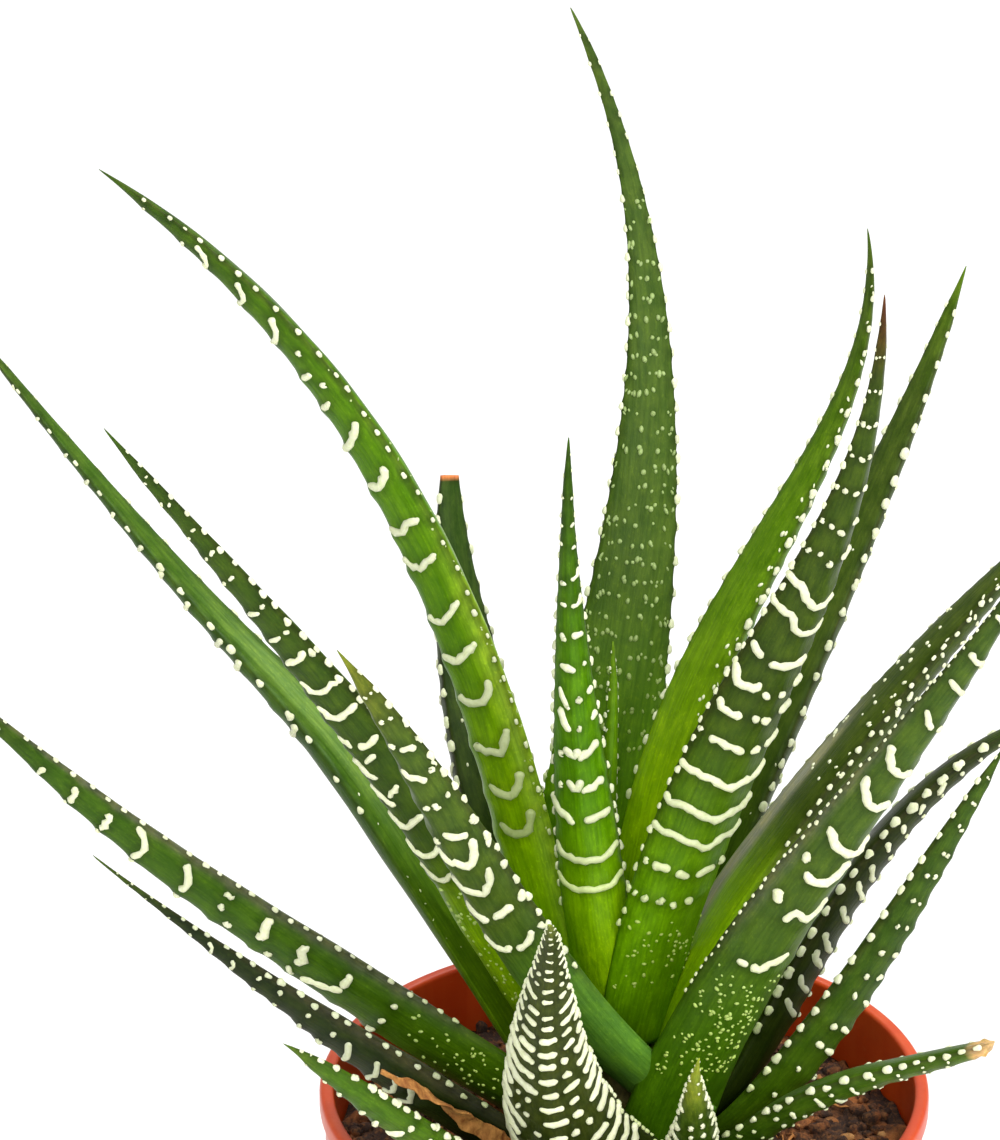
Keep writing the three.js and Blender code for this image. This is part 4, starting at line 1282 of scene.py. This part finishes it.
def make_dry_leaf():
    """The shrivelled old leaf: a thin, rolled and torn blade with a few loose fibres."""
    blade = Blade(DRY_LEAF, DRY_FACES, "dry")
    rings, sides = SCRAP["rings"], SCRAP["sides"]
    along = np.repeat(np.linspace(0, blade.length, rings), sides)
    angle = np.tile(np.linspace(0, 2 * math.pi, sides, endpoint=False), rings)
    centre, keelward, sideward = blade.axes(along)
    share = along / blade.length
    width = SCRAP["width"] * np.sin(np.pi * np.clip(share * 0.86 + 0.12, 0, 1)) ** 0.7 + 0.5
    curl = SCRAP["curl"] * np.sin(share * 5.0)[:, None]
    side = width / 2 * np.cos(angle)
    out = 0.3 * np.sin(angle) + 0.2 * side**2 - 0.4
    turned_side = sideward * np.cos(curl) + keelward * np.sin(curl)
    turned_out = keelward * np.cos(curl) - sideward * np.sin(curl)
    points = centre + turned_side * side[:, None] + turned_out * out[:, None]
    points += scatter(points, 0.55) * SCRAP["crumple"]
    mesh_points, faces = loft(points.reshape(rings, sides, 3))
    attach(make_piece("dry_leaf_scrap", mesh_points, faces, "dry"), "dry", "dry_leaf")

    rng = random.Random(SCRAP["seed"])
    pile = Pile()
    start = blade.axes(np.array([blade.length * 0.12]))[0][0]
    for _ in range(SCRAP["fibres"]):
        line = [start + np.array([rng.uniform(-1, 1), rng.uniform(-1, 1), rng.uniform(-0.5, 0.5)])]
        step = np.array([rng.uniform(0.2, 0.9), rng.uniform(-0.5, 0.1), rng.uniform(-0.25, 0.1)])
        for _ in range(SCRAP["fibre_steps"]):
            step = step + np.array([rng.uniform(-0.15, 0.15) for _ in range(3)])
            line.append(line[-1] + step)
        pile.add(*thread(line, rng.uniform(0.1, 0.22)))
    attach(pile.build("dry_leaf_fibres", "dry"), "dry")


# ---- Stage, light and camera ----

FLOOR_REACH = 3000
SKY = 0.5
AIM = (0, 0, 0.12)
LIGHTS = {
    # place, size and power; in metres and watts
    "key": ((0.75, -0.65, 0.95), 0.5, 11),
    "top": ((0.1, 0.5, 1.2), 0.8, 9),
    "front": ((-0.1, -1.05, 0.75), 0.5, 7),
}
CAMERA = dict(place=(0, -869.5, 568.9), yaw=-1.14, pitch=25.5, focal_pixels=7149.2)
IMAGE_HEIGHT = 1140
SENSOR = 36.0


def make_stage():
    """A plain pale floor under an even white sky."""
    corners = [(-1, -1, 0), (1, -1, 0), (1, 1, 0), (-1, 1, 0)]
    make_piece("floor", np.array(corners) * FLOOR_REACH, [[0, 1, 2, 3]], "floor")
    world = bpy.data.worlds.new("studio")
    world.use_nodes = True
    background = world.node_tree.nodes["Background"]
    background.inputs["Color"].default_value = (1.0, 1.0, 1.0, 1)
    background.inputs["Strength"].default_value = SKY
    bpy.context.scene.world = world


def add_light(name, place, size, power):
    """A square soft light aimed at the plant."""
    light = bpy.data.lights.new(name, "AREA")
    light.size = size
    light.energy = power
    lamp = bpy.data.objects.new(name, light)
    lamp.location = place
    lamp.rotation_euler = (Vector(AIM) - Vector(place)).to_track_quat("-Z", "Y").to_euler()
    bpy.context.scene.collection.objects.link(lamp)


def make_camera():
    camera = bpy.data.cameras.new("camera")
    camera.sensor_width = SENSOR
    camera.lens = CAMERA["focal_pixels"] * SENSOR / IMAGE_HEIGHT
    camera.clip_start = 0.05
    camera.clip_end = 20
    holder = bpy.data.objects.new("camera", camera)
    holder.location = Vector(CAMERA["place"]) * MM
    holder.rotation_euler = (math.radians(90 - CAMERA["pitch"]), 0, -math.radians(CAMERA["yaw"]))
    bpy.context.scene.collection.objects.link(holder)
    bpy.context.scene.camera = holder


make_camera()
make_stage()
for light_name, settings in LIGHTS.items():
    add_light(light_name, *settings)
make_pot()
make_soil()
for crumbs_name, crumbs in CRUMBS.items():
    make_crumbs(crumbs_name, *crumbs)
make_fibres()
make_stem()
make_dry_leaf()
for number, (leaf_name, leaf_look) in enumerate(LEAVES.items()):
    make_leaf(leaf_name, leaf_look, LEAF_SEED + number)
bpy.context.scene.view_settings.view_transform = "Standard"
